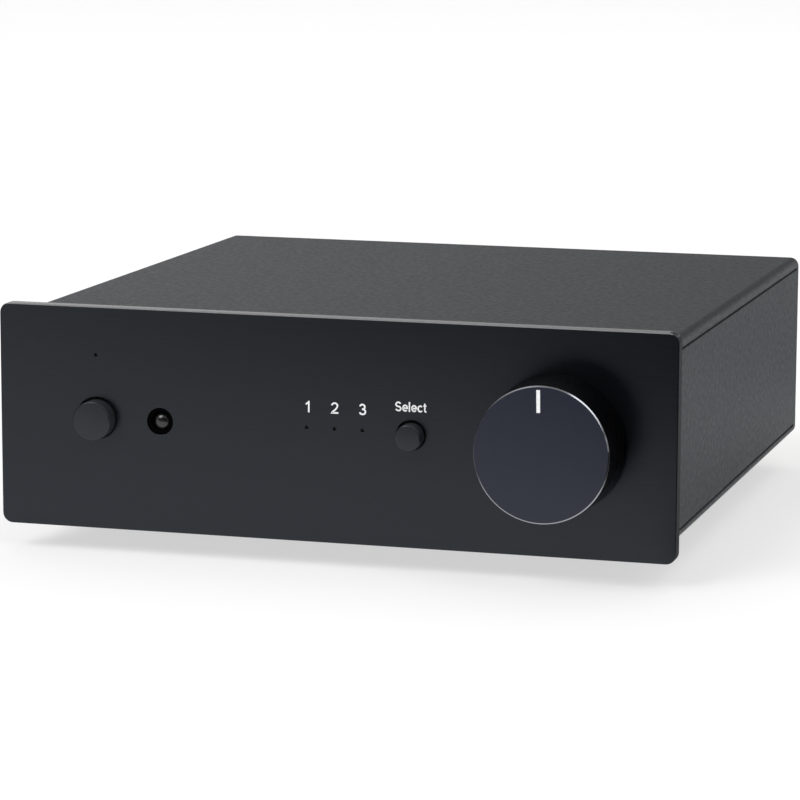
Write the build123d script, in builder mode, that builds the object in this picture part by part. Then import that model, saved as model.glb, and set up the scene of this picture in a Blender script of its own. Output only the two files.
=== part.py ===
from build123d import *
from math import acos, cos, pi, radians, sin, sqrt, tan
import os

# Compact stereo preamplifier in a sandwich case of aluminium plates.
# Millimetres. +X is right as seen from the front, +Y is to the back, +Z is up.
# The origin lies on the resting plane, under the middle of the whole unit.

os.makedirs("parts", exist_ok=True)

# ------------------------------------------------------------------ driving dimensions

# Front panel
panel_w = 103.0
panel_h = 33.3
panel_t = 2.0
panel_corner_r = 1.55
panel_edge_chamfer = 0.22

# Case behind the panel: two covers, two side walls and a rear panel
case_depth = 98.8
overhang_side = 1.2
overhang_top = 1.65
overhang_bottom = 1.85
cover_t = 1.7
cover_edge_r = 1.4
wall_t = 2.4
rear_t = 2.0
rear_edge_chamfer = 0.3
seam_w = 0.4
seam_depth = 0.35

# Columns of the side walls, which the long case screws run through
column_r = 3.2
column_sink = 0.2
column_front_setback = 33.2
column_rear_setback = 18.6
insert_r = 2.3
insert_len = 4.5

# Bosses of the side walls, which take the rear panel's screws
boss_r = 2.6
boss_len = 9.0
boss_spread = 8.5

# Feet
foot_h = 5.55
foot_r = 6.0
foot_tip_r = 5.4
foot_edge = 0.5
foot_inset = 16.3
foot_front_setback = 30.0
foot_rear_setback = 17.0
foot_recess_r = 3.3
foot_recess_depth = 3.2

# Screw sizes: shank radii, and the heads that go with them
m3_r = 1.5
m25_r = 1.25
pan_head_r = 2.25
pan_head_h = 1.5
pan_socket_r = 0.85
pan_socket_depth = 0.8
foot_head_r = 2.75
foot_head_h = 1.8
csk_head_r = 2.9
thread_gap = 0.03
pass_gap = 0.12

# Clearances
slip_gap = 0.02
run_gap = 0.03
seat_gap = 0.05
sheet_gap = 0.2

# Volume knob
knob_inset = 17.5
knob_reach = 9.8
knob_gap = 0.6
knob_front_r = 9.85
knob_back_r = 10.2
knob_bevel = 0.35
knob_back_chamfer = 0.3
knob_well_r = 7.6
knob_well_depth = 5.0
knob_hub_r = 4.6
knob_hub_setback = 1.1
pointer_inner_r = 6.05
pointer_outer_r = 9.25
pointer_w = 0.62
pointer_lean = 1.0
pointer_depth = 0.15
set_screw_len = 3.0
set_screw_setback = 2.7
key_hole_r = 1.7

# Volume control: shaft, bush, nut and body
shaft_r = 3.0
shaft_flat = 1.5
knob_front_wall = 2.0
shaft_rear_r = 2.5
shaft_step_setback = 1.3
bush_r = 3.5
bush_reach = 3.4
nut_across = 10.0
nut_t = 2.0
nut_opening_gap = 0.8
pot_w = 15.4
pot_rise = 9.5
pot_len = 16.0
pot_sections = 3
pot_groove = 0.6
pot_corner = 1.2

# Gear pair between the motor and the shaft
gear_module = 0.5
gear_board_gap = 0.55
pinion_teeth = 14
pressure_angle = 25.0
addendum = 0.9
dedendum = 1.2
backlash = 0.12
flank_steps = 4
gear_face_w = 3.0
pinion_face_w = 4.2
gear_hub_r = 4.4
gear_setback = 1.6
pinion_shaft_r = 1.25
pinion_shaft_depth = 6.0

# Gear bracket and geared motor
gear_sheet_t = 1.0
gear_bay = 8.0
gear_bracket_board_gap = 1.0
gear_bend_r = 0.6
gearbox_w = 14.0
gearbox_h = 13.0
gearbox_len = 9.0
motor_r = 7.0
motor_flat = 5.6
motor_len = 18.0
motor_boss_r = 2.4
motor_boss_len = 1.2

# Buttons and their switches
power_inset = 15.2
power_r = 2.8
power_reach = 2.2
power_gap = 0.35
power_travel = 0.8
input_to_knob = 21.8
input_r = 1.95
input_reach = 1.85
input_gap = 0.25
input_travel = 0.5
switch_drop = 0.16
cap_edge = 0.15
cap_flange_over = 0.75
cap_flange_t = 0.8
cap_flange_gap = 0.4
cap_stem_r = 1.6
plunger_r = 1.7
plunger_reach = 0.95
plunger_len = 2.2
plunger_end_gap = 0.2
switch_w = 6.0
switch_h = 3.4
switch_corner = 0.5

# Infrared receiver
ir_to_power = 10.0
ir_opening_r = 2.02
ir_bush_recess = 0.3
ir_bush_bore_r = 1.5
ir_flange_over = 1.0
ir_flange_t = 0.9
ir_dome_r = 1.2
ir_dome_recess = 0.55
ir_body_w = 5.6
ir_body_h = 6.0
ir_body_len = 4.6

# Indicators
led_to_input = 11.52
led_pitch = 4.24
led_rise = 0.35
power_led_rise = 9.45
pinhole_r = 0.275
pipe_tip_recess = 0.4
pipe_r = 1.0
pipe_bar_h = 3.0
pipe_bar_t = 1.0
led_w = 1.6
led_h = 0.8
led_t = 0.8

# Front bracket
bracket_t = 1.2
bracket_bend_r = 0.8
bracket_flange = 8.5
bracket_screw_setback = 5.7
bracket_screw_spread = 5.0
bracket_screw_depth = 1.7
stud_inset = 4.1
stud_spread = 9.0
stud_r = 1.0
stud_nut_across = 4.0
stud_nut_t = 1.6
stud_tip = 0.5

# Front board
board_gap = 5.2
board_t = 1.6
front_board_end_left = 4.7
front_board_end_right = 3.5
front_board_margin = 1.6
post_r = 2.2
post_to_ir = 4.2
post_to_input = 5.3
post_spread = 8.6
header_shift = 8.0
header_w = 20.0
header_h = 2.5

# Main board
standoff_h = 2.0
standoff_r = 2.5
main_board_side_gap = 1.2
main_board_front_gap = 1.9
main_board_rear_gap = 2.2
board_corner_r = 1.0
board_screw_inset = 4.5
board_screw_front_inset = 3.3
board_screw_rear_inset = 17.0
board_screw_to_pinion = 3.5
board_screw_to_bracket = 7.0

# Rear row from left to right: inlet, jack, output and inputs. Its gaps share what the board's
# width leaves free, in these proportions.
rear_row_gaps = (2.8, 3.8, 1.2, 1.4, 1.4, 1.4, 1.2)

# Sockets: one stereo pair in each module, left channel above
rca_modules = ("output", "input_3", "input_2", "input_1")
rca_rise = 4.05
rca_top_inset = 5.15
rca_body_w = 12.0
rca_body_top_gap = 1.25
rca_body_len = 12.0
rca_body_corner = 1.2
rca_flange_w = 12.6
rca_flange_t = 2.1
rca_flange_margin = 5.0
rca_shell_r = 4.15
rca_shell_bore_r = 3.5
rca_shell_seat = 2.0
rca_shell_edge = 0.2
rca_collar_over = 0.25
rca_collar_reach = 0.4
rca_opening_gap = 0.15
rca_insert_recess = 2.2
rca_contact_r = 1.62
rca_screw_depth = 7.0
rca_screw_head_r = 2.0
jack_reach = 9.4

# Power inlet
inlet_rise = 6.2
inlet_w = 9.4
inlet_top_margin = 5.4
inlet_len = 14.0
inlet_nose_r = 4.0
inlet_bore_r = 3.1
inlet_depth = 9.5
inlet_pin_r = 1.05
inlet_pin_recess = 0.8
inlet_pin_tip_r = 0.5

# Trigger jack
trigger_rise = 4.4
trigger_w = 8.0
trigger_len = 12.5
trigger_nose_r = 3.0
trigger_nose_reach = 1.5
trigger_bore_r = 1.3
trigger_depth = 11.0

# Earth terminal
earth_top_inset = 5.6
earth_flange_r = 3.6
earth_flange_t = 1.6
earth_bush_r = 2.9
earth_bush_len = 6.6
earth_nut_across = 8.0
earth_nut_t = 2.0
earth_screw_r = 2.0
earth_screw_len = 6.4
earth_end_gap = 0.6
earth_head_r = 4.0
earth_head_len = 4.6
earth_knurls = 18
earth_knurl_r = 0.32
earth_washer_r = 3.7
earth_washer_t = 0.6

# Parts on the main board
relay_w = 7.6
relay_len = 15.0
relay_h = 10.2
relay_gap_to_sockets = 4.0
big_can_r = 5.0
big_can_h = 12.5
big_can_gaps = (2.5, 1.5, 3.7)
big_can_pitch_y = 13.0
big_can_screw_gap = 15.4
small_can_r = 3.15
small_can_h = 7.0
small_can_pitch = 8.0
small_can_count = 3
film_w = 7.2
film_len = 3.4
film_h = 8.0
film_pitch_x = 10.0
film_pitch_y = 6.0
film_to_motor = 5.0
block_edge = 0.3
dip_w = 6.6
dip_len = 9.6
dip_h = 3.8
dip_pitch = 10.0
logic_chip_w = 10.0
logic_chip_len = 10.0
logic_chip_h = 1.5
board_row_gaps = (1, 1, 1, 1, 1)

# ------------------------------------------------------------------ places worked out


def row_centres(start, end, lengths, gaps):
    """Centres of pieces in a row from start to end, with the free length shared out as gaps."""
    unit = (end - start - sum(lengths)) / sum(gaps)
    centres = []
    place = start
    for length, gap in zip(lengths, gaps):
        place += gap * unit
        centres.append(place + length / 2)
        place += length
    return centres


unit_length = knob_reach + panel_t + case_depth + jack_reach
face_y = knob_reach - unit_length / 2
panel_back_y = face_y + panel_t
rear_y = panel_back_y + case_depth
rear_in_y = rear_y - rear_t
cover_len = rear_in_y - panel_back_y

case_w = panel_w - 2 * overhang_side
case_bottom_z = foot_h
panel_bottom_z = case_bottom_z - overhang_bottom
case_top_z = panel_bottom_z + panel_h - overhang_top
case_h = case_top_z - case_bottom_z
case_mid_z = case_bottom_z + case_h / 2
floor_z = case_bottom_z + cover_t
ceiling_z = case_top_z - cover_t
inner_h = ceiling_z - floor_z
inner_x = case_w / 2 - wall_t
row_z = panel_bottom_z + panel_h / 2
# The buttons and the receiver hang a little low in their openings.
switch_z = row_z - switch_drop

knob_x = panel_w / 2 - knob_inset
power_x = power_inset - panel_w / 2
ir_x = power_x + ir_to_power
input_x = knob_x - input_to_knob
led_mid_x = input_x - led_to_input

m3_tapped_r = m3_r + thread_gap
m25_tapped_r = m25_r + thread_gap
m3_hole_r = m3_r + pass_gap
m25_hole_r = m25_r + pass_gap

bracket_back_y = panel_back_y + bracket_t
front_board_y = bracket_back_y + board_gap
front_board_back_y = front_board_y + board_t
main_board_front_y = front_board_back_y + main_board_front_gap
main_board_rear_y = rear_in_y - main_board_rear_gap
main_board_z = floor_z + standoff_h
board_top_z = main_board_z + board_t

column_x = inner_x - column_r + column_sink
column_ys = (panel_back_y + column_front_setback, rear_in_y - column_rear_setback)
case_screw_places = [(side * column_x, y) for side in (-1, 1) for y in column_ys]
boss_x = inner_x - boss_r + column_sink
boss_zs = (case_mid_z - boss_spread, case_mid_z + boss_spread)
boss_places = [(side * boss_x, z) for side in (-1, 1) for z in boss_zs]
foot_x = case_w / 2 - foot_inset
foot_ys = (face_y + foot_front_setback, rear_y - foot_rear_setback)
foot_places = [(side * foot_x, y) for side in (-1, 1) for y in foot_ys]

stud_x = inner_x - stud_inset
stud_zs = (row_z - stud_spread, row_z + stud_spread)
stud_places = [(side * stud_x, z) for side in (-1, 1) for z in stud_zs]
stud_len = bracket_t + stud_nut_t + stud_tip
post_left_x = ir_x - post_to_ir
post_right_x = input_x + post_to_input
post_zs = (row_z - post_spread, row_z + post_spread)
post_places = [(x, z) for x in (post_left_x, post_right_x) for z in post_zs]
front_board_left = power_x - front_board_end_left
front_board_right = post_right_x + front_board_end_right
front_board_w = front_board_right - front_board_left
front_board_h = inner_h - 2 * front_board_margin
front_board_x = (front_board_left + front_board_right) / 2
header_x = front_board_x + header_shift
header_len = main_board_front_gap + header_h

power_led_place = (power_x, row_z + power_led_rise)
input_led_places = [(led_mid_x + step * led_pitch, row_z + led_rise) for step in (-1, 0, 1)]
led_places = [power_led_place, *input_led_places]

power_opening_r = power_r + power_gap
input_opening_r = input_r + input_gap
power_flange_r = power_opening_r + cap_flange_over
input_flange_r = input_opening_r + cap_flange_over
ir_flange_r = ir_opening_r + ir_flange_over
nut_corner_r = nut_across / sqrt(3)
nut_opening_r = nut_corner_r + nut_opening_gap

knob_face_y = face_y - knob_reach
knob_back_y = face_y - knob_gap
knob_hub_y = knob_back_y - knob_hub_setback
bush_tip_y = panel_back_y - bush_reach
knob_bore_depth = knob_hub_y - knob_face_y - knob_front_wall
shaft_depth_in_knob = knob_bore_depth - sheet_gap
pot_back_y = bracket_back_y + pot_len

gear_front_leg_y = pot_back_y + gear_sheet_t
gear_rear_leg_y = gear_front_leg_y + gear_bay
gear_bracket_back_y = gear_rear_leg_y + gear_sheet_t
gear_y = gear_front_leg_y + gear_setback
gear_teeth = 2 * round((row_z - board_top_z - gear_board_gap) / gear_module - addendum)
gear_tip_r = gear_module * (gear_teeth / 2 + addendum)
gear_distance = gear_module * (gear_teeth + pinion_teeth) / 2
pinion_x = knob_x - gear_distance
gearbox_back_y = gear_bracket_back_y + gearbox_len
motor_back_y = gearbox_back_y + motor_len
gear_bracket_h = 2 * (row_z - board_top_z - gear_bracket_board_gap)

main_board_w = 2 * (column_x - column_r - main_board_side_gap)
main_board_len = main_board_rear_y - main_board_front_y
board_screw_x = main_board_w / 2 - board_screw_inset
board_screw_front_y = main_board_front_y + board_screw_front_inset
board_screws_xy = [
    (-board_screw_x, board_screw_front_y),
    (pinion_x - board_screw_to_pinion, board_screw_front_y),
    (-board_screw_x, main_board_rear_y - board_screw_rear_inset),
    (board_screw_x, gear_bracket_back_y + board_screw_to_bracket),
]

rear_row = (inlet_w, trigger_w, *[rca_flange_w] * len(rca_modules))
rear_row_xs = row_centres(-main_board_w / 2, main_board_w / 2, rear_row, rear_row_gaps)
inlet_x, trigger_x, *rca_xs = rear_row_xs
rca_low_z = board_top_z + rca_rise
rca_high_z = ceiling_z - rca_top_inset
rca_mid_z = (rca_low_z + rca_high_z) / 2
rca_body_top_z = ceiling_z - rca_body_top_gap
rca_places = [(x, z) for x in rca_xs for z in (rca_low_z, rca_high_z)]
rca_collar_r = rca_shell_r + rca_collar_over
rca_opening_r = rca_collar_r + rca_opening_gap
jack_end_y = rear_y + jack_reach

inlet_z = board_top_z + inlet_rise
inlet_floor_y = rear_y - inlet_depth
trigger_z = board_top_z + trigger_rise
earth_x = trigger_x
earth_z = ceiling_z - earth_top_inset
earth_flange_y = rear_y + earth_flange_t
earth_washer_y = earth_flange_y + seat_gap
earth_head_y = earth_washer_y + earth_washer_t + seat_gap

# Rows of parts stand on the main board between its header and its relays.
relay_y = rear_in_y - rca_body_len - relay_gap_to_sockets - relay_len / 2
header_end_y = front_board_back_y + header_len
film_rows_len = film_pitch_y + film_len
board_rows = (logic_chip_len, dip_len, film_rows_len, 2 * small_can_r)
board_row_ys = row_centres(header_end_y, relay_y - relay_len / 2, board_rows, board_row_gaps)
logic_chip_y, dip_y, film_y, small_can_y = board_row_ys
big_can_row = (2 * big_can_r, 2 * big_can_r)
relays_left_x = rca_xs[0] - relay_w / 2
big_can_xs = row_centres(-main_board_w / 2, relays_left_x, big_can_row, big_can_gaps)
middle_rows_x = (big_can_xs[-1] + big_can_r + pinion_x - motor_r) / 2
big_can_y = main_board_rear_y - board_screw_rear_inset - big_can_screw_gap

# ------------------------------------------------------------------ helpers

standing = (Align.CENTER, Align.CENTER, Align.MIN)
quarter_turn = 90
half_turn = 180
hex_sides = 6
hex_flat_up = 30
groove_sides = 4


def facing_front(y):
    """Plane at depth y that looks to the front: local x is +X and local y is +Z."""
    return Plane.XZ.offset(-y)


def turning_axis(x, z):
    """Axis along +Y through (x, z)."""
    return Axis((x, 0, z), (0, 1, 0))


def half_section(x, z, *points):
    """Closed half profile of a turned piece, as (y, radius) points about turning_axis(x, z)."""
    with BuildSketch(Plane(origin=(x, 0, z), x_dir=(0, 1, 0), z_dir=(1, 0, 0))) as profile:
        with BuildLine():
            Polyline(*points, close=True)
        make_face()
    return profile.sketch


def d_section(y, radius, flat):
    """Round section of the volume shaft at depth y, with a flat on its lower side."""
    with BuildSketch(facing_front(y)) as section:
        with Locations((knob_x, row_z)):
            Circle(radius)
        with Locations((knob_x, row_z - flat - radius)):
            Rectangle(2 * radius, 2 * radius, mode=Mode.SUBTRACT)
    return section.sketch


def cover_profile(inside_z, outside_z):
    """Section of a cover: rounded outer long edges, and half of the seam on the inner ones."""
    lip_z = inside_z + (seam_w / 2 if outside_z > inside_z else -seam_w / 2)
    half_w = case_w / 2
    with BuildSketch(facing_front(rear_in_y)) as profile:
        with BuildLine():
            Polyline(
                (seam_depth - half_w, inside_z),
                (half_w - seam_depth, inside_z),
                (half_w, lip_z),
                (half_w, outside_z),
                (-half_w, outside_z),
                (-half_w, lip_z),
                close=True,
            )
        make_face()
        outer = profile.vertices().group_by(Axis.Y)[-1 if outside_z > inside_z else 0]
        fillet(outer, cover_edge_r)
    return profile.sketch


def wall_profile(side):
    """Section of a side wall, with the other half of each seam."""
    outer_x = side * case_w / 2
    seam_x = side * (case_w / 2 - seam_depth)
    with BuildSketch(facing_front(rear_in_y)) as profile:
        with BuildLine():
            Polyline(
                (side * inner_x, floor_z),
                (seam_x, floor_z),
                (outer_x, floor_z + seam_w / 2),
                (outer_x, ceiling_z - seam_w / 2),
                (seam_x, ceiling_z),
                (side * inner_x, ceiling_z),
                close=True,
            )
        make_face()
    return profile.sketch


def involute_angle(base_r, r):
    """Polar angle that an involute of base_r has turned through at radius r."""
    if r <= base_r:
        return 0.0
    slope = acos(base_r / r)
    return tan(slope) - slope


def tooth_profile(teeth):
    """One involute tooth along local +X, from under the root circle to the tip."""
    pitch_r = gear_module * teeth / 2
    base_r = pitch_r * cos(radians(pressure_angle))
    tip_r = pitch_r + addendum * gear_module
    root_r = pitch_r - dedendum * gear_module
    start_r = max(base_r, root_r)
    half_pitch_angle = (pi * gear_module / 2 - backlash / 2) / 2 / pitch_r
    half_base_angle = half_pitch_angle + involute_angle(base_r, pitch_r)
    flank = []
    for step in range(flank_steps + 1):
        r = start_r + (tip_r - start_r) * step / flank_steps
        angle = half_base_angle - involute_angle(base_r, r)
        flank.append((r * cos(angle), r * sin(angle)))
    foot = (root_r * cos(half_base_angle) / 2, root_r * sin(half_base_angle) / 2)
    upper = [foot, *flank]
    lower = [(x, -y) for x, y in reversed(upper)]
    with BuildSketch() as tooth:
        with BuildLine():
            Polyline(*upper)
            ThreePointArc(upper[-1], (tip_r, 0), lower[0])
            Polyline(*lower)
            Line(lower[-1], upper[0])
        make_face()
    return tooth.sketch


def gear_blank(x, y, teeth, first_tooth_angle):
    """Toothed disc outline at depth y, centred on (x, row_z)."""
    root_r = gear_module * (teeth / 2 - dedendum)
    with BuildSketch(Plane(origin=(x, y, row_z), x_dir=(1, 0, 0), z_dir=(0, -1, 0))) as blank:
        Circle(root_r)
        with PolarLocations(0, teeth, start_angle=first_tooth_angle):
            add(tooth_profile(teeth))
    return blank.sketch


def write_step(name, piece):
    """Label a finished piece and write it under its own name."""
    piece.part.label = name
    export_step(piece.part, f"parts/{name}.step")


# ------------------------------------------------------------------ case

with BuildPart() as front_panel:
    with BuildSketch(facing_front(panel_back_y)):
        with Locations((0, row_z)):
            RectangleRounded(panel_w, panel_h, panel_corner_r)
        with Locations((knob_x, row_z)):
            Circle(nut_opening_r, mode=Mode.SUBTRACT)
        with Locations((power_x, row_z)):
            Circle(power_opening_r, mode=Mode.SUBTRACT)
        with Locations((input_x, row_z)):
            Circle(input_opening_r, mode=Mode.SUBTRACT)
        with Locations((ir_x, row_z)):
            Circle(ir_opening_r, mode=Mode.SUBTRACT)
        with Locations(*led_places):
            Circle(pinhole_r, mode=Mode.SUBTRACT)
    extrude(amount=panel_t)
    rim = front_panel.faces().sort_by(Axis.Y)[0].outer_wire().edges()
    chamfer(rim, panel_edge_chamfer)
    with BuildSketch(facing_front(panel_back_y + stud_len)):
        with Locations(*stud_places):
            Circle(stud_r)
    extrude(amount=stud_len)
write_step("front_panel", front_panel)

# The top cover carries four clinched inserts, which the case screws draw down.
with BuildPart() as top_cover:
    extrude(cover_profile(ceiling_z, case_top_z), amount=cover_len)
    with BuildSketch(Plane.XY.offset(ceiling_z - insert_len)):
        with Locations(*case_screw_places):
            Circle(insert_r)
            Circle(m3_tapped_r, mode=Mode.SUBTRACT)
    extrude(amount=insert_len)
write_step("top_cover", top_cover)

# The bottom cover carries the clinched stand-offs of the main board.
with BuildPart() as bottom_cover:
    extrude(cover_profile(floor_z, case_bottom_z), amount=cover_len)
    with BuildSketch(Plane.XY.offset(floor_z)):
        with Locations(*board_screws_xy):
            Circle(standoff_r)
            Circle(m25_tapped_r, mode=Mode.SUBTRACT)
    extrude(amount=standoff_h)
    with Locations(*[(x, y, case_bottom_z) for x, y in case_screw_places]):
        Cone(csk_head_r, m3_hole_r, csk_head_r - m3_hole_r, align=standing, mode=Mode.SUBTRACT)
        Cylinder(m3_hole_r, cover_t, align=standing, mode=Mode.SUBTRACT)
    with Locations(*[(x, y, case_bottom_z) for x, y in foot_places]):
        Cylinder(m3_tapped_r, cover_t, align=standing, mode=Mode.SUBTRACT)
write_step("bottom_cover", bottom_cover)

insert_seat_z = ceiling_z - insert_len - sheet_gap
for side, side_name in ((-1, "left"), (1, "right")):
    with BuildPart() as side_wall:
        extrude(wall_profile(side), amount=cover_len)
        with BuildSketch(Plane.XY.offset(floor_z)):
            for column_y in column_ys:
                with Locations((side * column_x, column_y)):
                    Circle(column_r)
                with Locations((side * (column_x + column_r / 2), column_y)):
                    Rectangle(column_r, 2 * column_r)
        extrude(amount=inner_h)
        with Locations(*[(side * column_x, column_y, floor_z) for column_y in column_ys]):
            Cylinder(m3_hole_r, inner_h, align=standing, mode=Mode.SUBTRACT)
        with Locations(*[(side * column_x, column_y, insert_seat_z) for column_y in column_ys]):
            Cylinder(
                insert_r + slip_gap,
                insert_len + sheet_gap,
                align=standing,
                mode=Mode.SUBTRACT,
            )
        with BuildSketch(facing_front(rear_in_y)):
            with Locations(*[(side * boss_x, z) for z in boss_zs]):
                Circle(boss_r)
            with Locations(*[(side * (boss_x + boss_r / 2), z) for z in boss_zs]):
                Rectangle(boss_r, 2 * boss_r)
        extrude(amount=boss_len)
        with BuildSketch(facing_front(rear_in_y)):
            with Locations(*[(side * boss_x, z) for z in boss_zs]):
                Circle(m25_tapped_r)
        extrude(amount=boss_len, mode=Mode.SUBTRACT)
        with BuildSketch(Plane.YZ.offset(side * inner_x)):
            for rise in (-bracket_screw_spread, bracket_screw_spread):
                with Locations((panel_back_y + bracket_screw_setback, row_z + rise)):
                    Circle(m25_tapped_r)
        extrude(amount=side * bracket_screw_depth, mode=Mode.SUBTRACT)
    write_step(f"side_wall_{side_name}", side_wall)

with BuildPart() as rear_panel:
    with BuildSketch(facing_front(rear_y)):
        with Locations((0, case_mid_z)):
            RectangleRounded(case_w, case_h, cover_edge_r)
        with Locations(*boss_places):
            Circle(m25_hole_r, mode=Mode.SUBTRACT)
        with Locations(*rca_places):
            Circle(rca_opening_r, mode=Mode.SUBTRACT)
        with Locations(*[(x, rca_mid_z) for x in rca_xs]):
            Circle(m25_hole_r, mode=Mode.SUBTRACT)
        with Locations((inlet_x, inlet_z)):
            Circle(inlet_nose_r + pass_gap, mode=Mode.SUBTRACT)
        with Locations((trigger_x, trigger_z)):
            Circle(trigger_nose_r + pass_gap, mode=Mode.SUBTRACT)
        with Locations((earth_x, earth_z)):
            Circle(earth_bush_r + slip_gap, mode=Mode.SUBTRACT)
    extrude(amount=rear_t)
    rim = rear_panel.faces().sort_by(Axis.Y)[-1].outer_wire().edges()
    chamfer(rim, rear_edge_chamfer)
write_step("rear_panel", rear_panel)

with BuildPart() as feet:
    with Locations(*foot_places):
        Cone(foot_tip_r, foot_r, foot_h, align=standing)
    chamfer(feet.edges().group_by(Axis.Z)[0], foot_edge)
    with Locations(*foot_places):
        Cylinder(foot_recess_r, foot_recess_depth, align=standing, mode=Mode.SUBTRACT)
        Cylinder(m3_hole_r, foot_h, align=standing, mode=Mode.SUBTRACT)
write_step("feet", feet)

foot_screw_len = foot_h - foot_recess_depth + cover_t
with BuildPart() as foot_screws:
    with Locations(*[(x, y, foot_recess_depth - foot_head_h) for x, y in foot_places]):
        Cylinder(foot_head_r, foot_head_h, align=standing)
    with Locations(*[(x, y, foot_recess_depth) for x, y in foot_places]):
        Cylinder(m3_r, foot_screw_len, align=standing)
write_step("foot_screws", foot_screws)

case_screw_top_z = ceiling_z - sheet_gap
with BuildPart() as case_screws:
    with Locations(*[(x, y, case_bottom_z + seat_gap) for x, y in case_screw_places]):
        Cone(csk_head_r - pass_gap, m3_r, csk_head_r - pass_gap - m3_r, align=standing)
        Cylinder(m3_r, case_screw_top_z - case_bottom_z - seat_gap, align=standing)
write_step("case_screws", case_screws)

with BuildPart() as rear_panel_screws:
    with BuildSketch(facing_front(rear_y + pan_head_h)):
        with Locations(*boss_places):
            Circle(pan_head_r)
    extrude(amount=pan_head_h)
    with BuildSketch(facing_front(rear_y)):
        with Locations(*boss_places):
            Circle(m25_r)
    extrude(amount=rear_t + boss_len - sheet_gap)
    with BuildSketch(facing_front(rear_y + pan_head_h)):
        with Locations(*boss_places):
            RegularPolygon(pan_socket_r, hex_sides)
    extrude(amount=pan_socket_depth, mode=Mode.SUBTRACT)
write_step("rear_panel_screws", rear_panel_screws)

# ------------------------------------------------------------------ front bracket and board

with BuildPart() as front_bracket:
    flange_x = inner_x - seat_gap - bracket_t / 2
    sheet_y = panel_back_y + bracket_t / 2
    flange_end_y = panel_back_y + bracket_flange
    with BuildSketch(Plane.XY.offset(floor_z + sheet_gap)):
        with BuildLine():
            FilletPolyline(
                (-flange_x, flange_end_y),
                (-flange_x, sheet_y),
                (flange_x, sheet_y),
                (flange_x, flange_end_y),
                radius=bracket_bend_r + bracket_t / 2,
            )
        trace(line_width=bracket_t)
    extrude(amount=inner_h - 2 * sheet_gap)
    with BuildSketch(facing_front(bracket_back_y)):
        with Locations((knob_x, row_z)):
            Circle(bush_r + pass_gap)
        with Locations((power_x, row_z)):
            Circle(power_flange_r + cap_flange_gap)
        with Locations((input_x, row_z)):
            Circle(input_flange_r + cap_flange_gap)
        with Locations((ir_x, row_z)):
            Circle(ir_flange_r + pass_gap)
        with Locations(*led_places):
            Circle(pipe_r + pass_gap)
        with Locations(*stud_places):
            Circle(stud_r + pass_gap)
    extrude(amount=bracket_t, mode=Mode.SUBTRACT)
    with BuildSketch(Plane.YZ):
        for rise in (-bracket_screw_spread, bracket_screw_spread):
            with Locations((panel_back_y + bracket_screw_setback, row_z + rise)):
                Circle(m25_hole_r)
    extrude(amount=inner_x, both=True, mode=Mode.SUBTRACT)
    with BuildSketch(facing_front(front_board_y)):
        with Locations(*post_places):
            Circle(post_r)
            Circle(m25_tapped_r, mode=Mode.SUBTRACT)
    extrude(amount=board_gap)
write_step("front_bracket", front_bracket)

with BuildPart() as panel_nuts:
    with BuildSketch(facing_front(bracket_back_y + stud_nut_t)):
        with Locations(*stud_places):
            RegularPolygon(stud_nut_across / 2, hex_sides, major_radius=False, rotation=hex_flat_up)
            Circle(stud_r + thread_gap, mode=Mode.SUBTRACT)
    extrude(amount=stud_nut_t)
write_step("panel_nuts", panel_nuts)

flange_in_x = inner_x - seat_gap - bracket_t
with BuildPart() as bracket_screws:
    for side in (-1, 1):
        for rise in (-bracket_screw_spread, bracket_screw_spread):
            with BuildSketch(Plane.YZ.offset(side * flange_in_x)):
                with Locations((panel_back_y + bracket_screw_setback, row_z + rise)):
                    Circle(pan_head_r)
            extrude(amount=-side * pan_head_h)
            with BuildSketch(Plane.YZ.offset(side * flange_in_x)):
                with Locations((panel_back_y + bracket_screw_setback, row_z + rise)):
                    Circle(m25_r)
            extrude(amount=side * (bracket_t + seat_gap + bracket_screw_depth - slip_gap))
write_step("bracket_screws", bracket_screws)

with BuildPart() as front_board:
    with BuildSketch(facing_front(front_board_back_y)):
        with Locations((front_board_x, case_mid_z)):
            RectangleRounded(front_board_w, front_board_h, board_corner_r)
        with Locations(*post_places):
            Circle(m25_hole_r, mode=Mode.SUBTRACT)
    extrude(amount=board_t)
write_step("front_board", front_board)

with BuildPart() as front_board_screws:
    with BuildSketch(facing_front(front_board_back_y + pan_head_h)):
        with Locations(*post_places):
            Circle(pan_head_r)
    extrude(amount=pan_head_h)
    with BuildSketch(facing_front(front_board_back_y)):
        with Locations(*post_places):
            Circle(m25_r)
    extrude(amount=board_t + board_gap - sheet_gap)
write_step("front_board_screws", front_board_screws)

# ------------------------------------------------------------------ buttons and switches

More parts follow.
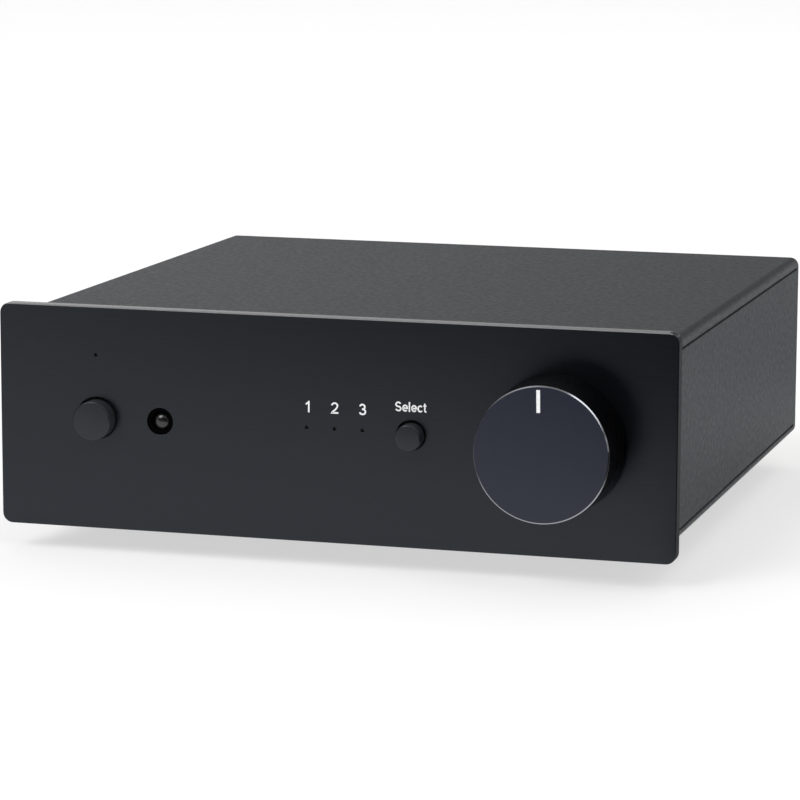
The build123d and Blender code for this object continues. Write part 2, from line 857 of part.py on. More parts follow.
# A turned cap with a flange that stays behind the panel, and a stem that meets the plunger.
switch_face_y = front_board_y - switch_h
plunger_tip_y = switch_face_y - plunger_reach
plunger_end_y = plunger_tip_y + plunger_len
cap_flange_y = panel_back_y + seat_gap
cap_flange_back_y = cap_flange_y + cap_flange_t
buttons = (
    ("power", power_x, power_r, power_reach, power_flange_r, power_travel),
    ("input", input_x, input_r, input_reach, input_flange_r, input_travel),
)
for button_name, button_x, cap_r, reach, flange_r, travel in buttons:
    with BuildPart() as cap:
        cap_section = half_section(
            button_x,
            switch_z,
            (face_y - reach, 0),
            (face_y - reach, cap_r - cap_edge),
            (face_y - reach + cap_edge, cap_r),
            (cap_flange_y, cap_r),
            (cap_flange_y, flange_r),
            (cap_flange_back_y, flange_r),
            (cap_flange_back_y, cap_stem_r),
            (plunger_tip_y, cap_stem_r),
            (plunger_tip_y, 0),
        )
        revolve(cap_section, axis=turning_axis(button_x, switch_z))
    write_step(f"{button_name}_button", cap)

    with BuildPart() as plunger:
        with BuildSketch(facing_front(plunger_end_y)):
            with Locations((button_x, switch_z)):
                Circle(plunger_r)
        extrude(amount=plunger_len)
    write_step(f"{button_name}_plunger", plunger)

    with BuildPart() as switch:
        with BuildSketch(facing_front(front_board_y)):
            with Locations((button_x, switch_z)):
                Rectangle(switch_w, switch_w)
        extrude(amount=switch_h)
        chamfer(switch.edges().filter_by(Axis.Y), switch_corner)
        plunger_well = plunger_end_y + travel + plunger_end_gap - switch_face_y
        with BuildSketch(facing_front(switch_face_y + plunger_well)):
            with Locations((button_x, switch_z)):
                Circle(plunger_r + seat_gap)
        extrude(amount=plunger_well, mode=Mode.SUBTRACT)
    write_step(f"{button_name}_switch", switch)

# ------------------------------------------------------------------ infrared receiver

ir_body_y = front_board_y - ir_body_len
ir_dome_y = face_y + ir_dome_recess + ir_dome_r
with BuildPart() as ir_receiver:
    with BuildSketch(facing_front(front_board_y)):
        with Locations((ir_x, switch_z)):
            Rectangle(ir_body_w, ir_body_h)
    extrude(amount=ir_body_len)
    chamfer(ir_receiver.edges().filter_by(Axis.Z).group_by(Axis.Y)[0], switch_corner)
    with BuildSketch(facing_front(ir_body_y)):
        with Locations((ir_x, switch_z)):
            Circle(ir_dome_r)
    extrude(amount=ir_body_y - ir_dome_y)
    with Locations((ir_x, ir_dome_y, switch_z)):
        Sphere(ir_dome_r)
write_step("ir_receiver", ir_receiver)

# The bush is pushed into the panel from behind, up to its flange.
with BuildPart() as ir_bush:
    bush_section = half_section(
        ir_x,
        row_z,
        (face_y + ir_bush_recess, ir_bush_bore_r),
        (face_y + ir_bush_recess, ir_opening_r - slip_gap),
        (panel_back_y, ir_opening_r - slip_gap),
        (panel_back_y, ir_flange_r),
        (panel_back_y + ir_flange_t, ir_flange_r),
        (panel_back_y + ir_flange_t, ir_bush_bore_r),
    )
    revolve(bush_section, axis=turning_axis(ir_x, row_z))
write_step("ir_bush", ir_bush)

# ------------------------------------------------------------------ indicators

led_face_y = front_board_y - led_t
with BuildPart() as front_leds:
    with BuildSketch(facing_front(front_board_y)):
        with Locations(*led_places):
            Rectangle(led_w, led_h)
    extrude(amount=led_t)
write_step("front_leds", front_leds)

# Clear pipes: a thin tip in each pinhole, a thicker shank, and a bar behind the bracket.
for pipe_name, places in (("power", [power_led_place]), ("input", input_led_places)):
    with BuildPart() as light_pipe:
        bar_w = pipe_bar_h + places[-1][0] - places[0][0]
        bar_x = (places[0][0] + places[-1][0]) / 2
        with BuildSketch(facing_front(bracket_back_y + pipe_bar_t)):
            with Locations((bar_x, places[0][1])):
                Rectangle(bar_w, pipe_bar_h)
        extrude(amount=pipe_bar_t)
        with BuildSketch(facing_front(led_face_y - sheet_gap)):
            with Locations(*places):
                Circle(pipe_r)
        extrude(amount=led_face_y - sheet_gap - panel_back_y)
        with BuildSketch(facing_front(panel_back_y)):
            with Locations(*places):
                Circle(pinhole_r - slip_gap)
        extrude(amount=panel_t - pipe_tip_recess)
    write_step(f"{pipe_name}_light_pipe", light_pipe)

# ------------------------------------------------------------------ volume knob and control

# The knob is hollow behind: its hub reaches back to the bush, and the nut sits in the well.
pointer_mid_r = (pointer_inner_r + pointer_outer_r) / 2
with BuildPart() as volume_knob:
    knob_section = half_section(
        knob_x,
        row_z,
        (knob_face_y, 0),
        (knob_face_y, knob_front_r - knob_bevel),
        (knob_face_y + knob_bevel, knob_front_r),
        (knob_back_y - knob_back_chamfer, knob_back_r),
        (knob_back_y, knob_back_r - knob_back_chamfer),
        (knob_back_y, knob_well_r),
        (knob_back_y - knob_well_depth, knob_well_r),
        (knob_back_y - knob_well_depth, knob_hub_r),
        (knob_hub_y, knob_hub_r),
        (knob_hub_y, 0),
    )
    revolve(knob_section, axis=turning_axis(knob_x, row_z))
    extrude(
        d_section(knob_hub_y, shaft_r + slip_gap, shaft_flat + slip_gap),
        amount=knob_bore_depth,
        mode=Mode.SUBTRACT,
    )
    with BuildSketch(facing_front(knob_face_y + pointer_depth)):
        with Locations((knob_x, row_z)):
            with PolarLocations(pointer_mid_r, 1, start_angle=quarter_turn + pointer_lean):
                Rectangle(pointer_outer_r - pointer_inner_r, pointer_w)
    extrude(amount=pointer_depth, mode=Mode.SUBTRACT)
    with BuildSketch(Plane.XY.offset(row_z - shaft_flat - slip_gap)):
        with Locations((knob_x, knob_hub_y - set_screw_setback)):
            Circle(m3_tapped_r)
    extrude(amount=-knob_hub_r, mode=Mode.SUBTRACT)
    with BuildSketch(Plane.XY.offset(row_z - knob_hub_r)):
        with Locations((knob_x, knob_hub_y - set_screw_setback)):
            Circle(key_hole_r)
    extrude(amount=-knob_back_r, mode=Mode.SUBTRACT)
write_step("volume_knob", volume_knob)

with BuildPart() as knob_set_screw:
    set_screw_z = row_z - shaft_flat - slip_gap - set_screw_len
    with BuildSketch(Plane.XY.offset(set_screw_z)):
        with Locations((knob_x, knob_hub_y - set_screw_setback)):
            Circle(m3_r)
    extrude(amount=set_screw_len)
    with BuildSketch(Plane.XY.offset(set_screw_z)):
        with Locations((knob_x, knob_hub_y - set_screw_setback)):
            RegularPolygon(pan_socket_r, hex_sides)
    extrude(amount=pan_socket_depth, mode=Mode.SUBTRACT)
write_step("knob_set_screw", knob_set_screw)

with BuildPart() as volume_shaft:
    extrude(d_section(knob_hub_y, shaft_r, shaft_flat), amount=shaft_depth_in_knob)
    shaft_step_y = gear_y - shaft_step_setback
    with BuildSketch(facing_front(shaft_step_y)):
        with Locations((knob_x, row_z)):
            Circle(shaft_r)
    extrude(amount=shaft_step_y - knob_hub_y)
    shaft_end_y = gear_bracket_back_y + knob_gap
    with BuildSketch(facing_front(shaft_end_y)):
        with Locations((knob_x, row_z)):
            Circle(shaft_rear_r)
    extrude(amount=shaft_end_y - shaft_step_y)
write_step("volume_shaft", volume_shaft)

with BuildPart() as pot_nut:
    with BuildSketch(facing_front(panel_back_y)):
        with Locations((knob_x, row_z)):
            RegularPolygon(nut_across / 2, hex_sides, major_radius=False)
            Circle(bush_r + thread_gap, mode=Mode.SUBTRACT)
    extrude(amount=nut_t)
    chamfer(pot_nut.faces().sort_by(Axis.Y)[0].outer_wire().edges(), seam_w)
write_step("pot_nut", pot_nut)

with BuildPart() as pot_bush:
    with BuildSketch(facing_front(bracket_back_y)):
        with Locations((knob_x, row_z)):
            Circle(bush_r)
            Circle(shaft_r + run_gap, mode=Mode.SUBTRACT)
    extrude(amount=bracket_back_y - bush_tip_y)
write_step("pot_bush", pot_bush)

# A body of stacked sections, which stands on the main board.
with BuildPart() as pot_body:
    pot_top_z = row_z + pot_rise
    with BuildSketch(facing_front(pot_back_y)):
        with Locations((knob_x, (board_top_z + pot_top_z) / 2)):
            Rectangle(pot_w, pot_top_z - board_top_z)
    extrude(amount=pot_len)
    chamfer(pot_body.edges().filter_by(Axis.Y).group_by(Axis.Z)[-1], pot_corner)
    for section in range(1, pot_sections):
        groove_y = bracket_back_y + pot_len * section / pot_sections + pot_groove / 2
        with BuildSketch(facing_front(groove_y)):
            with Locations((knob_x, (board_top_z + pot_top_z) / 2)):
                Rectangle(pot_w, pot_top_z - board_top_z)
                Rectangle(
                    pot_w - 2 * pot_groove,
                    pot_top_z - board_top_z - 2 * pot_groove,
                    mode=Mode.SUBTRACT,
                )
        extrude(amount=pot_groove, mode=Mode.SUBTRACT)
    with BuildSketch(facing_front(pot_back_y)):
        with Locations((knob_x, row_z)):
            Circle(shaft_r + run_gap)
    extrude(amount=pot_len, mode=Mode.SUBTRACT)
write_step("pot_body", pot_body)

# ------------------------------------------------------------------ motor drive of the volume control

# An even tooth count puts a tooth of the gear on the line of centres, and half a pitch of
# turn puts a gap of the pinion there.
with BuildPart() as clutch_gear:
    gear_back_y = gear_y + gear_face_w
    extrude(gear_blank(knob_x, gear_back_y, gear_teeth, 0), amount=gear_face_w)
    hub_end_y = gear_rear_leg_y - knob_gap
    with BuildSketch(facing_front(hub_end_y)):
        with Locations((knob_x, row_z)):
            Circle(gear_hub_r)
    extrude(amount=hub_end_y - gear_back_y)
    with BuildSketch(facing_front(hub_end_y)):
        with Locations((knob_x, row_z)):
            Circle(shaft_rear_r + slip_gap)
    extrude(amount=hub_end_y - gear_y, mode=Mode.SUBTRACT)
write_step("clutch_gear", clutch_gear)

with BuildPart() as motor_pinion:
    pinion_y = gear_y - (pinion_face_w - gear_face_w) / 2
    extrude(
        gear_blank(pinion_x, pinion_y + pinion_face_w, pinion_teeth, half_turn / pinion_teeth),
        amount=pinion_face_w,
    )
    pinion_shaft_end_y = gear_bracket_back_y + pinion_shaft_depth
    with BuildSketch(facing_front(pinion_shaft_end_y)):
        with Locations((pinion_x, row_z)):
            Circle(pinion_shaft_r)
    extrude(amount=pinion_shaft_end_y - pinion_y)
write_step("motor_pinion", motor_pinion)

with BuildPart() as gear_bracket:
    web_x = knob_x + gear_tip_r + knob_gap + gear_sheet_t / 2
    leg_end_x = pinion_x - gearbox_w / 2 - gear_sheet_t
    front_leg_mid_y = gear_front_leg_y - gear_sheet_t / 2
    rear_leg_mid_y = gear_rear_leg_y + gear_sheet_t / 2
    with BuildSketch(Plane.XY.offset(row_z - gear_bracket_h / 2)):
        with BuildLine():
            FilletPolyline(
                (leg_end_x, front_leg_mid_y),
                (web_x, front_leg_mid_y),
                (web_x, rear_leg_mid_y),
                (leg_end_x, rear_leg_mid_y),
                radius=gear_bend_r + gear_sheet_t / 2,
            )
        trace(line_width=gear_sheet_t)
    extrude(amount=gear_bracket_h)
    with BuildSketch(facing_front(gear_front_leg_y)):
        with Locations((knob_x, row_z)):
            Circle(shaft_r + cap_flange_gap)
    extrude(amount=gear_sheet_t, mode=Mode.SUBTRACT)
    with BuildSketch(facing_front(gear_bracket_back_y)):
        with Locations((knob_x, row_z)):
            Circle(shaft_rear_r + run_gap)
        with Locations((pinion_x, row_z)):
            Circle(motor_boss_r + slip_gap)
    extrude(amount=gear_sheet_t, mode=Mode.SUBTRACT)
write_step("gear_bracket", gear_bracket)

# The closed gearbox centres itself in the bracket with a round boss.
with BuildPart() as motor_gearbox:
    with BuildSketch(facing_front(gearbox_back_y)):
        with Locations((pinion_x, row_z)):
            RectangleRounded(gearbox_w, gearbox_h, pot_corner)
    extrude(amount=gearbox_len)
    with BuildSketch(facing_front(gear_bracket_back_y)):
        with Locations((pinion_x, row_z)):
            Circle(motor_boss_r)
    extrude(amount=motor_boss_len)
    with BuildSketch(facing_front(pinion_shaft_end_y + sheet_gap)):
        with Locations((pinion_x, row_z)):
            Circle(pinion_shaft_r + run_gap)
    extrude(amount=pinion_shaft_depth + sheet_gap + motor_boss_len, mode=Mode.SUBTRACT)
write_step("motor_gearbox", motor_gearbox)

with BuildPart() as motor_can:
    with BuildSketch(facing_front(motor_back_y)):
        with Locations((pinion_x, row_z)):
            Circle(motor_r)
            Rectangle(2 * motor_r, 2 * motor_flat, mode=Mode.INTERSECT)
    extrude(amount=motor_len)
    with BuildSketch(facing_front(motor_back_y + motor_boss_len)):
        with Locations((pinion_x, row_z)):
            Circle(motor_boss_r)
    extrude(amount=motor_boss_len)
write_step("motor_can", motor_can)

# ------------------------------------------------------------------ main board

with BuildPart() as main_board:
    with BuildSketch(Plane.XY.offset(main_board_z)):
        with Locations((0, (main_board_front_y + main_board_rear_y) / 2)):
            RectangleRounded(main_board_w, main_board_len, board_corner_r)
        with Locations(*board_screws_xy):
            Circle(m25_hole_r, mode=Mode.SUBTRACT)
    extrude(amount=board_t)
write_step("main_board", main_board)

board_screw_len = board_t + standoff_h - sheet_gap
with BuildPart() as board_screws:
    with Locations(*[(x, y, board_top_z) for x, y in board_screws_xy]):
        Cylinder(pan_head_r, pan_head_h, align=standing)
    with Locations(*[(x, y, board_top_z - board_screw_len) for x, y in board_screws_xy]):
        Cylinder(m25_r, board_screw_len, align=standing)
write_step("board_screws", board_screws)

# The header stands on the main board against the back of the front board.
with BuildPart() as board_header:
    with BuildSketch(Plane.XY.offset(board_top_z)):
        with Locations((header_x, front_board_back_y + header_len / 2)):
            Rectangle(header_w, header_len)
    extrude(amount=header_h)
    chamfer(board_header.edges().filter_by(Axis.Z), block_edge)
write_step("board_header", board_header)

with BuildPart() as relays:
    with BuildSketch(Plane.XY.offset(board_top_z)):
        with Locations(*[(x, relay_y) for x in rca_xs]):
            Rectangle(relay_w, relay_len)
    extrude(amount=relay_h)
    chamfer(relays.faces().group_by(Axis.Z)[-1].edges(), block_edge)
write_step("relays", relays)

# Four smoothing capacitors stand on the power side, and a row of small ones before the relays.
with BuildPart() as electrolytic_capacitors:
    for big_can_x in big_can_xs:
        with Locations((big_can_x, big_can_y, board_top_z)):
            with GridLocations(big_can_pitch_y, big_can_pitch_y, 1, 2):
                Cylinder(big_can_r, big_can_h, align=standing)
    with Locations((middle_rows_x, small_can_y, board_top_z)):
        with GridLocations(small_can_pitch, small_can_pitch, small_can_count, 1):
            Cylinder(small_can_r, small_can_h, align=standing)
write_step("electrolytic_capacitors", electrolytic_capacitors)

# Film capacitors: four in the middle, and two beside the motor.
with BuildPart() as film_capacitors:
    with BuildSketch(Plane.XY.offset(board_top_z)):
        with Locations((middle_rows_x, film_y)):
            with GridLocations(film_pitch_x, film_pitch_y, 2, 2):
                Rectangle(film_w, film_len)
        with Locations((knob_x, motor_back_y - film_to_motor)):
            with GridLocations(film_pitch_x, film_pitch_y, 1, 2):
                Rectangle(film_w, film_len)
    extrude(amount=film_h)
    chamfer(film_capacitors.faces().group_by(Axis.Z)[-1].edges(), block_edge)
write_step("film_capacitors", film_capacitors)

with BuildPart() as circuit_packages:
    with BuildSketch(Plane.XY.offset(board_top_z)):
        with Locations((middle_rows_x, dip_y)):
            with GridLocations(dip_pitch, dip_pitch, 2, 1):
                Rectangle(dip_w, dip_len)
    extrude(amount=dip_h)
    with BuildSketch(Plane.XY.offset(board_top_z)):
        with Locations((middle_rows_x, logic_chip_y)):
            Rectangle(logic_chip_w, logic_chip_len)
    extrude(amount=logic_chip_h)
write_step("circuit_packages", circuit_packages)

# ------------------------------------------------------------------ stereo socket modules

# Each housing stands on the main board, and its flange bears on the rear panel's inside.
for module, module_x in zip(rca_modules, rca_xs):
    with BuildPart() as housing:
        with BuildSketch(facing_front(rear_in_y)):
            with Locations((module_x, rca_mid_z)):
                Rectangle(rca_flange_w, rca_high_z - rca_low_z + 2 * rca_flange_margin)
        extrude(amount=rca_flange_t)
        with BuildSketch(facing_front(rear_in_y - rca_flange_t)):
            with Locations((module_x, (board_top_z + rca_body_top_z) / 2)):
                Rectangle(rca_body_w, rca_body_top_z - board_top_z)
        extrude(amount=rca_body_len - rca_flange_t)
        front_edges = housing.edges().filter_by(Axis.X).group_by(Axis.Y)[0]
        chamfer(front_edges.sort_by(Axis.Z)[-1], rca_body_corner)
        with BuildSketch(facing_front(rear_in_y)):
            with Locations((module_x, rca_low_z), (module_x, rca_high_z)):
                Circle(rca_collar_r + slip_gap)
        extrude(amount=rca_shell_seat, mode=Mode.SUBTRACT)
        with BuildSketch(facing_front(rear_in_y)):
            with Locations((module_x, rca_mid_z)):
                Circle(m25_tapped_r)
        extrude(amount=rca_screw_depth, mode=Mode.SUBTRACT)
    write_step(f"rca_housing_{module}", housing)

# A collar on each shell fills its opening in the rear panel, and the plug stops against it.
shell_seat_y = rear_in_y - rca_shell_seat
collar_end_y = rear_y + rca_collar_reach
with BuildPart() as rca_shells:
    with BuildSketch(facing_front(jack_end_y)):
        with Locations(*rca_places):
            Circle(rca_shell_r)
    extrude(amount=jack_end_y - collar_end_y)
    chamfer(rca_shells.faces().group_by(Axis.Y)[-1].edges(), rca_shell_edge)
    with BuildSketch(facing_front(collar_end_y)):
        with Locations(*rca_places):
            Circle(rca_collar_r)
    extrude(amount=collar_end_y - shell_seat_y)
    with BuildSketch(facing_front(jack_end_y)):
        with Locations(*rca_places):
            Circle(rca_shell_bore_r)
    extrude(amount=jack_end_y - shell_seat_y, mode=Mode.SUBTRACT)
write_step("rca_shells", rca_shells)

insert_end_y = jack_end_y - rca_insert_recess
for channel, channel_z in (("left", rca_high_z), ("right", rca_low_z)):
    with BuildPart() as inserts:
        with BuildSketch(facing_front(insert_end_y)):
            with Locations(*[(x, channel_z) for x in rca_xs]):
                Circle(rca_shell_bore_r - slip_gap)
                Circle(rca_contact_r, mode=Mode.SUBTRACT)
        extrude(amount=insert_end_y - shell_seat_y)
    write_step(f"rca_inserts_{channel}", inserts)

with BuildPart() as rca_screws:
    module_screw_places = [(x, rca_mid_z) for x in rca_xs]
    with BuildSketch(facing_front(rear_y + pan_head_h)):
        with Locations(*module_screw_places):
            Circle(rca_screw_head_r)
    extrude(amount=pan_head_h)
    with BuildSketch(facing_front(rear_y)):
        with Locations(*module_screw_places):
            Circle(m25_r)
    extrude(amount=rear_t + rca_screw_depth - sheet_gap)
    with BuildSketch(facing_front(rear_y + pan_head_h)):
        with Locations(*module_screw_places):
            RegularPolygon(pan_socket_r, hex_sides)
    extrude(amount=pan_socket_depth, mode=Mode.SUBTRACT)
write_step("rca_screws", rca_screws)

# ------------------------------------------------------------------ power inlet and trigger jack

with BuildPart() as power_inlet:
    inlet_top_z = inlet_z + inlet_top_margin
    with BuildSketch(facing_front(rear_in_y)):
        with Locations((inlet_x, (board_top_z + inlet_top_z) / 2)):
            Rectangle(inlet_w, inlet_top_z - board_top_z)
    extrude(amount=inlet_len)
    with BuildSketch(facing_front(rear_y)):
        with Locations((inlet_x, inlet_z)):
            Circle(inlet_nose_r)
    extrude(amount=rear_t)
    with BuildSketch(facing_front(rear_y)):
        with Locations((inlet_x, inlet_z)):
            Circle(inlet_bore_r)
    extrude(amount=inlet_depth, mode=Mode.SUBTRACT)
write_step("power_inlet", power_inlet)

inlet_pin_tip_y = rear_y - inlet_pin_recess
with BuildPart() as power_inlet_pin:
    pin_section = half_section(
        inlet_x,
        inlet_z,
        (inlet_floor_y, 0),
        (inlet_floor_y, inlet_pin_r),
        (inlet_pin_tip_y - inlet_pin_tip_r, inlet_pin_r),
        (inlet_pin_tip_y, inlet_pin_tip_r),
        (inlet_pin_tip_y, 0),
    )
    revolve(pin_section, axis=turning_axis(inlet_x, inlet_z))
write_step("power_inlet_pin", power_inlet_pin)

with BuildPart() as trigger_jack:
    trigger_top_z = trigger_z + trigger_rise
    with BuildSketch(facing_front(rear_in_y)):
        with Locations((trigger_x, (board_top_z + trigger_top_z) / 2)):
            Rectangle(trigger_w, trigger_top_z - board_top_z)
    extrude(amount=trigger_len)
    nose_end_y = rear_y + trigger_nose_reach
    with BuildSketch(facing_front(nose_end_y)):
        with Locations((trigger_x, trigger_z)):
            Circle(trigger_nose_r)
    extrude(amount=rear_t + trigger_nose_reach)
    with BuildSketch(facing_front(nose_end_y)):
        with Locations((trigger_x, trigger_z)):
            Circle(trigger_bore_r)
    extrude(amount=trigger_depth, mode=Mode.SUBTRACT)
write_step("trigger_jack", trigger_jack)

# ------------------------------------------------------------------ earth terminal

with BuildPart() as earth_bush:
    earth_bush_end_y = rear_y - earth_bush_len
    earth_bore_end_y = earth_head_y - earth_screw_len - earth_end_gap
    earth_bush_section = half_section(
        earth_x,
        earth_z,
        (earth_bush_end_y, 0),
        (earth_bush_end_y, earth_bush_r),
        (rear_y, earth_bush_r),
        (rear_y, earth_flange_r),
        (earth_flange_y, earth_flange_r),
        (earth_flange_y, earth_screw_r + run_gap),
        (earth_bore_end_y, earth_screw_r + run_gap),
        (earth_bore_end_y, 0),
    )
    revolve(earth_bush_section, axis=turning_axis(earth_x, earth_z))
write_step("earth_bush", earth_bush)

with BuildPart() as earth_nut:
    with BuildSketch(facing_front(rear_in_y)):
        with Locations((earth_x, earth_z)):
            RegularPolygon(earth_nut_across / 2, hex_sides, major_radius=False, rotation=hex_flat_up)
            Circle(earth_bush_r + thread_gap, mode=Mode.SUBTRACT)
    extrude(amount=earth_nut_t)
write_step("earth_nut", earth_nut)

with BuildPart() as earth_washer:
    with BuildSketch(facing_front(earth_washer_y + earth_washer_t)):
        with Locations((earth_x, earth_z)):
            Circle(earth_washer_r)
            Circle(earth_screw_r + seat_gap, mode=Mode.SUBTRACT)
    extrude(amount=earth_washer_t)
write_step("earth_washer", earth_washer)

# The head is knurled with straight V grooves.
with BuildPart() as earth_screw:
    with BuildSketch(facing_front(earth_head_y + earth_head_len)):
        with Locations((earth_x, earth_z)):
            Circle(earth_head_r)
            with PolarLocations(earth_head_r, earth_knurls):
                RegularPolygon(earth_knurl_r, groove_sides, mode=Mode.SUBTRACT)
    extrude(amount=earth_head_len)
    with BuildSketch(facing_front(earth_head_y)):
        with Locations((earth_x, earth_z)):
            Circle(earth_screw_r)
    extrude(amount=earth_screw_len)
write_step("earth_screw", earth_screw)
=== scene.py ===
"""Looks of the compact preamplifier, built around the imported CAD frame.

The object's sizes and places are in mm. The camera, the lights and the stage are in metres.
"""

from math import atan2, cos, pi, radians, sin

import bmesh
import bpy
from mathutils import Matrix, Vector
from mathutils.geometry import delaunay_2d_cdt, normal


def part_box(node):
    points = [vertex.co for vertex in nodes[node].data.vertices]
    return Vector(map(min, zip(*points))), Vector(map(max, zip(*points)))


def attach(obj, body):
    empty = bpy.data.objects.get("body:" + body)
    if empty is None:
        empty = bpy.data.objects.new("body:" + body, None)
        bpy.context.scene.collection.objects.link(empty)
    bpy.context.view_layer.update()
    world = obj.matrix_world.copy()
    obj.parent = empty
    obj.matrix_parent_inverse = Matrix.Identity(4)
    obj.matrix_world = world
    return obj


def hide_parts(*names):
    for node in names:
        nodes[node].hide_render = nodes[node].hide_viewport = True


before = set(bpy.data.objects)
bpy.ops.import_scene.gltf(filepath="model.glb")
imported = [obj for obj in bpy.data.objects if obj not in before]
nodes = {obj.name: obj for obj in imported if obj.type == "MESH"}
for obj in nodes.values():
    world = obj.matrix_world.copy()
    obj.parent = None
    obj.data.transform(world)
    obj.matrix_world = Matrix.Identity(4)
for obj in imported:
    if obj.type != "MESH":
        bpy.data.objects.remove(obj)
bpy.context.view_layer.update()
MM = 0.001

# ------------------------------------------------------------------ places, from the frame


def span(node, axis):
    """Where a CAD node starts and ends along an axis, without the frame's rounding errors."""
    return [round(corner["xyz".index(axis)] / MM, 5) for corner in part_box(node)]


def middle(node, axis):
    return round(sum(span(node, axis)) / 2, 4)


def width(node, axis):
    start, end = span(node, axis)
    return end - start


FACE_Y = span("front_panel", "y")[0]
PANEL_W, PANEL_H = width("front_panel", "x"), width("front_panel", "z")
ROW_Z = middle("front_panel", "z")  # also the axis of the knob and the infrared window
SWITCH_Z = middle("ir_receiver", "z")  # axis of both buttons and of the lens
KNOB_X, IR_X = middle("volume_knob", "x"), middle("ir_receiver", "x")
POWER_X, INPUT_X = middle("power_button", "x"), middle("input_button", "x")
KNOB_Y, KNOB_BACK_Y = span("volume_knob", "y")
BUSH_BACK_Y, RECEIVER_BACK_Y = span("ir_bush", "y")[1], span("ir_receiver", "y")[1]

REAR_Y = span("rear_panel", "y")[1]
SOCKET_BACK_Y, SOCKET_TIP_Y = span("rca_shells", "y")
INSERT_TIP_Y = span("rca_inserts_left", "y")[1]
PANEL_SCREW_END_Y, PANEL_SCREW_TOP_Y = span("rear_panel_screws", "y")
SOCKET_SCREW_END_Y, SOCKET_SCREW_TOP_Y = span("rca_screws", "y")
SOCKET_SCREW_Z = middle("rca_screws", "z")
FOOT_SCREW_TOP_Z, FOOT_SCREW_END_Z = span("foot_screws", "z")
EARTH_X, EARTH_Z = middle("earth_screw", "x"), middle("earth_screw", "z")
EARTH_END_Y, EARTH_TIP_Y = span("earth_screw", "y")

# Not in any box of the frame, and the same in the CAD.
PANEL_CORNER, PANEL_BACK_Y = 1.55, FACE_Y + 2.0
SHAFT_HOLE_R, POWER_HOLE_R, INPUT_HOLE_R, IR_HOLE_R, LED_HOLE_R = 6.6, 3.15, 2.20, 2.02, 0.275
LED_XS, LED_Z, POWER_LED_Z = (-3.56, 0.68, 4.92), 20.70, 29.80
RECEIVER_Y = -46.4
SOCKET_XS, SOCKET_ZS = (-9.0, 5.0, 19.0, 33.0), (14.9, 28.5)
PANEL_SCREW_XS, PANEL_SCREW_ZS = (-45.5, 45.5), (11.95, 28.95)
FOOT_XS, FOOT_YS, FOOT_SCREW_BASE_Z = (-34.0, 34.0), (-20.2, 33.6), 3.2
EARTH_SEAT_Y = 52.9

# ------------------------------------------------------------------ materials

NOISE_LOW, NOISE_HIGH = 0.3, 0.7  # most of a noise lies between these


def srgb(r, g, b):
    """Linear colour of an sRGB triple in 0 to 255."""
    out = []
    for c in (r, g, b):
        c /= 255
        out.append(c / 12.92 if c <= 0.04045 else ((c + 0.055) / 1.055) ** 2.4)
    return (*out, 1.0)


def color_ramp(tree, fac, stops):
    """Colour ramp through (position, colour) stops, driven by `fac`."""
    ramp = tree.nodes.new("ShaderNodeValToRGB")
    elements = ramp.color_ramp.elements
    while len(elements) < len(stops):
        elements.new(0.5)
    for element, (position, color) in zip(elements, stops):
        element.position, element.color = position, color
    tree.links.new(fac, ramp.inputs["Fac"])
    return ramp.outputs["Color"]


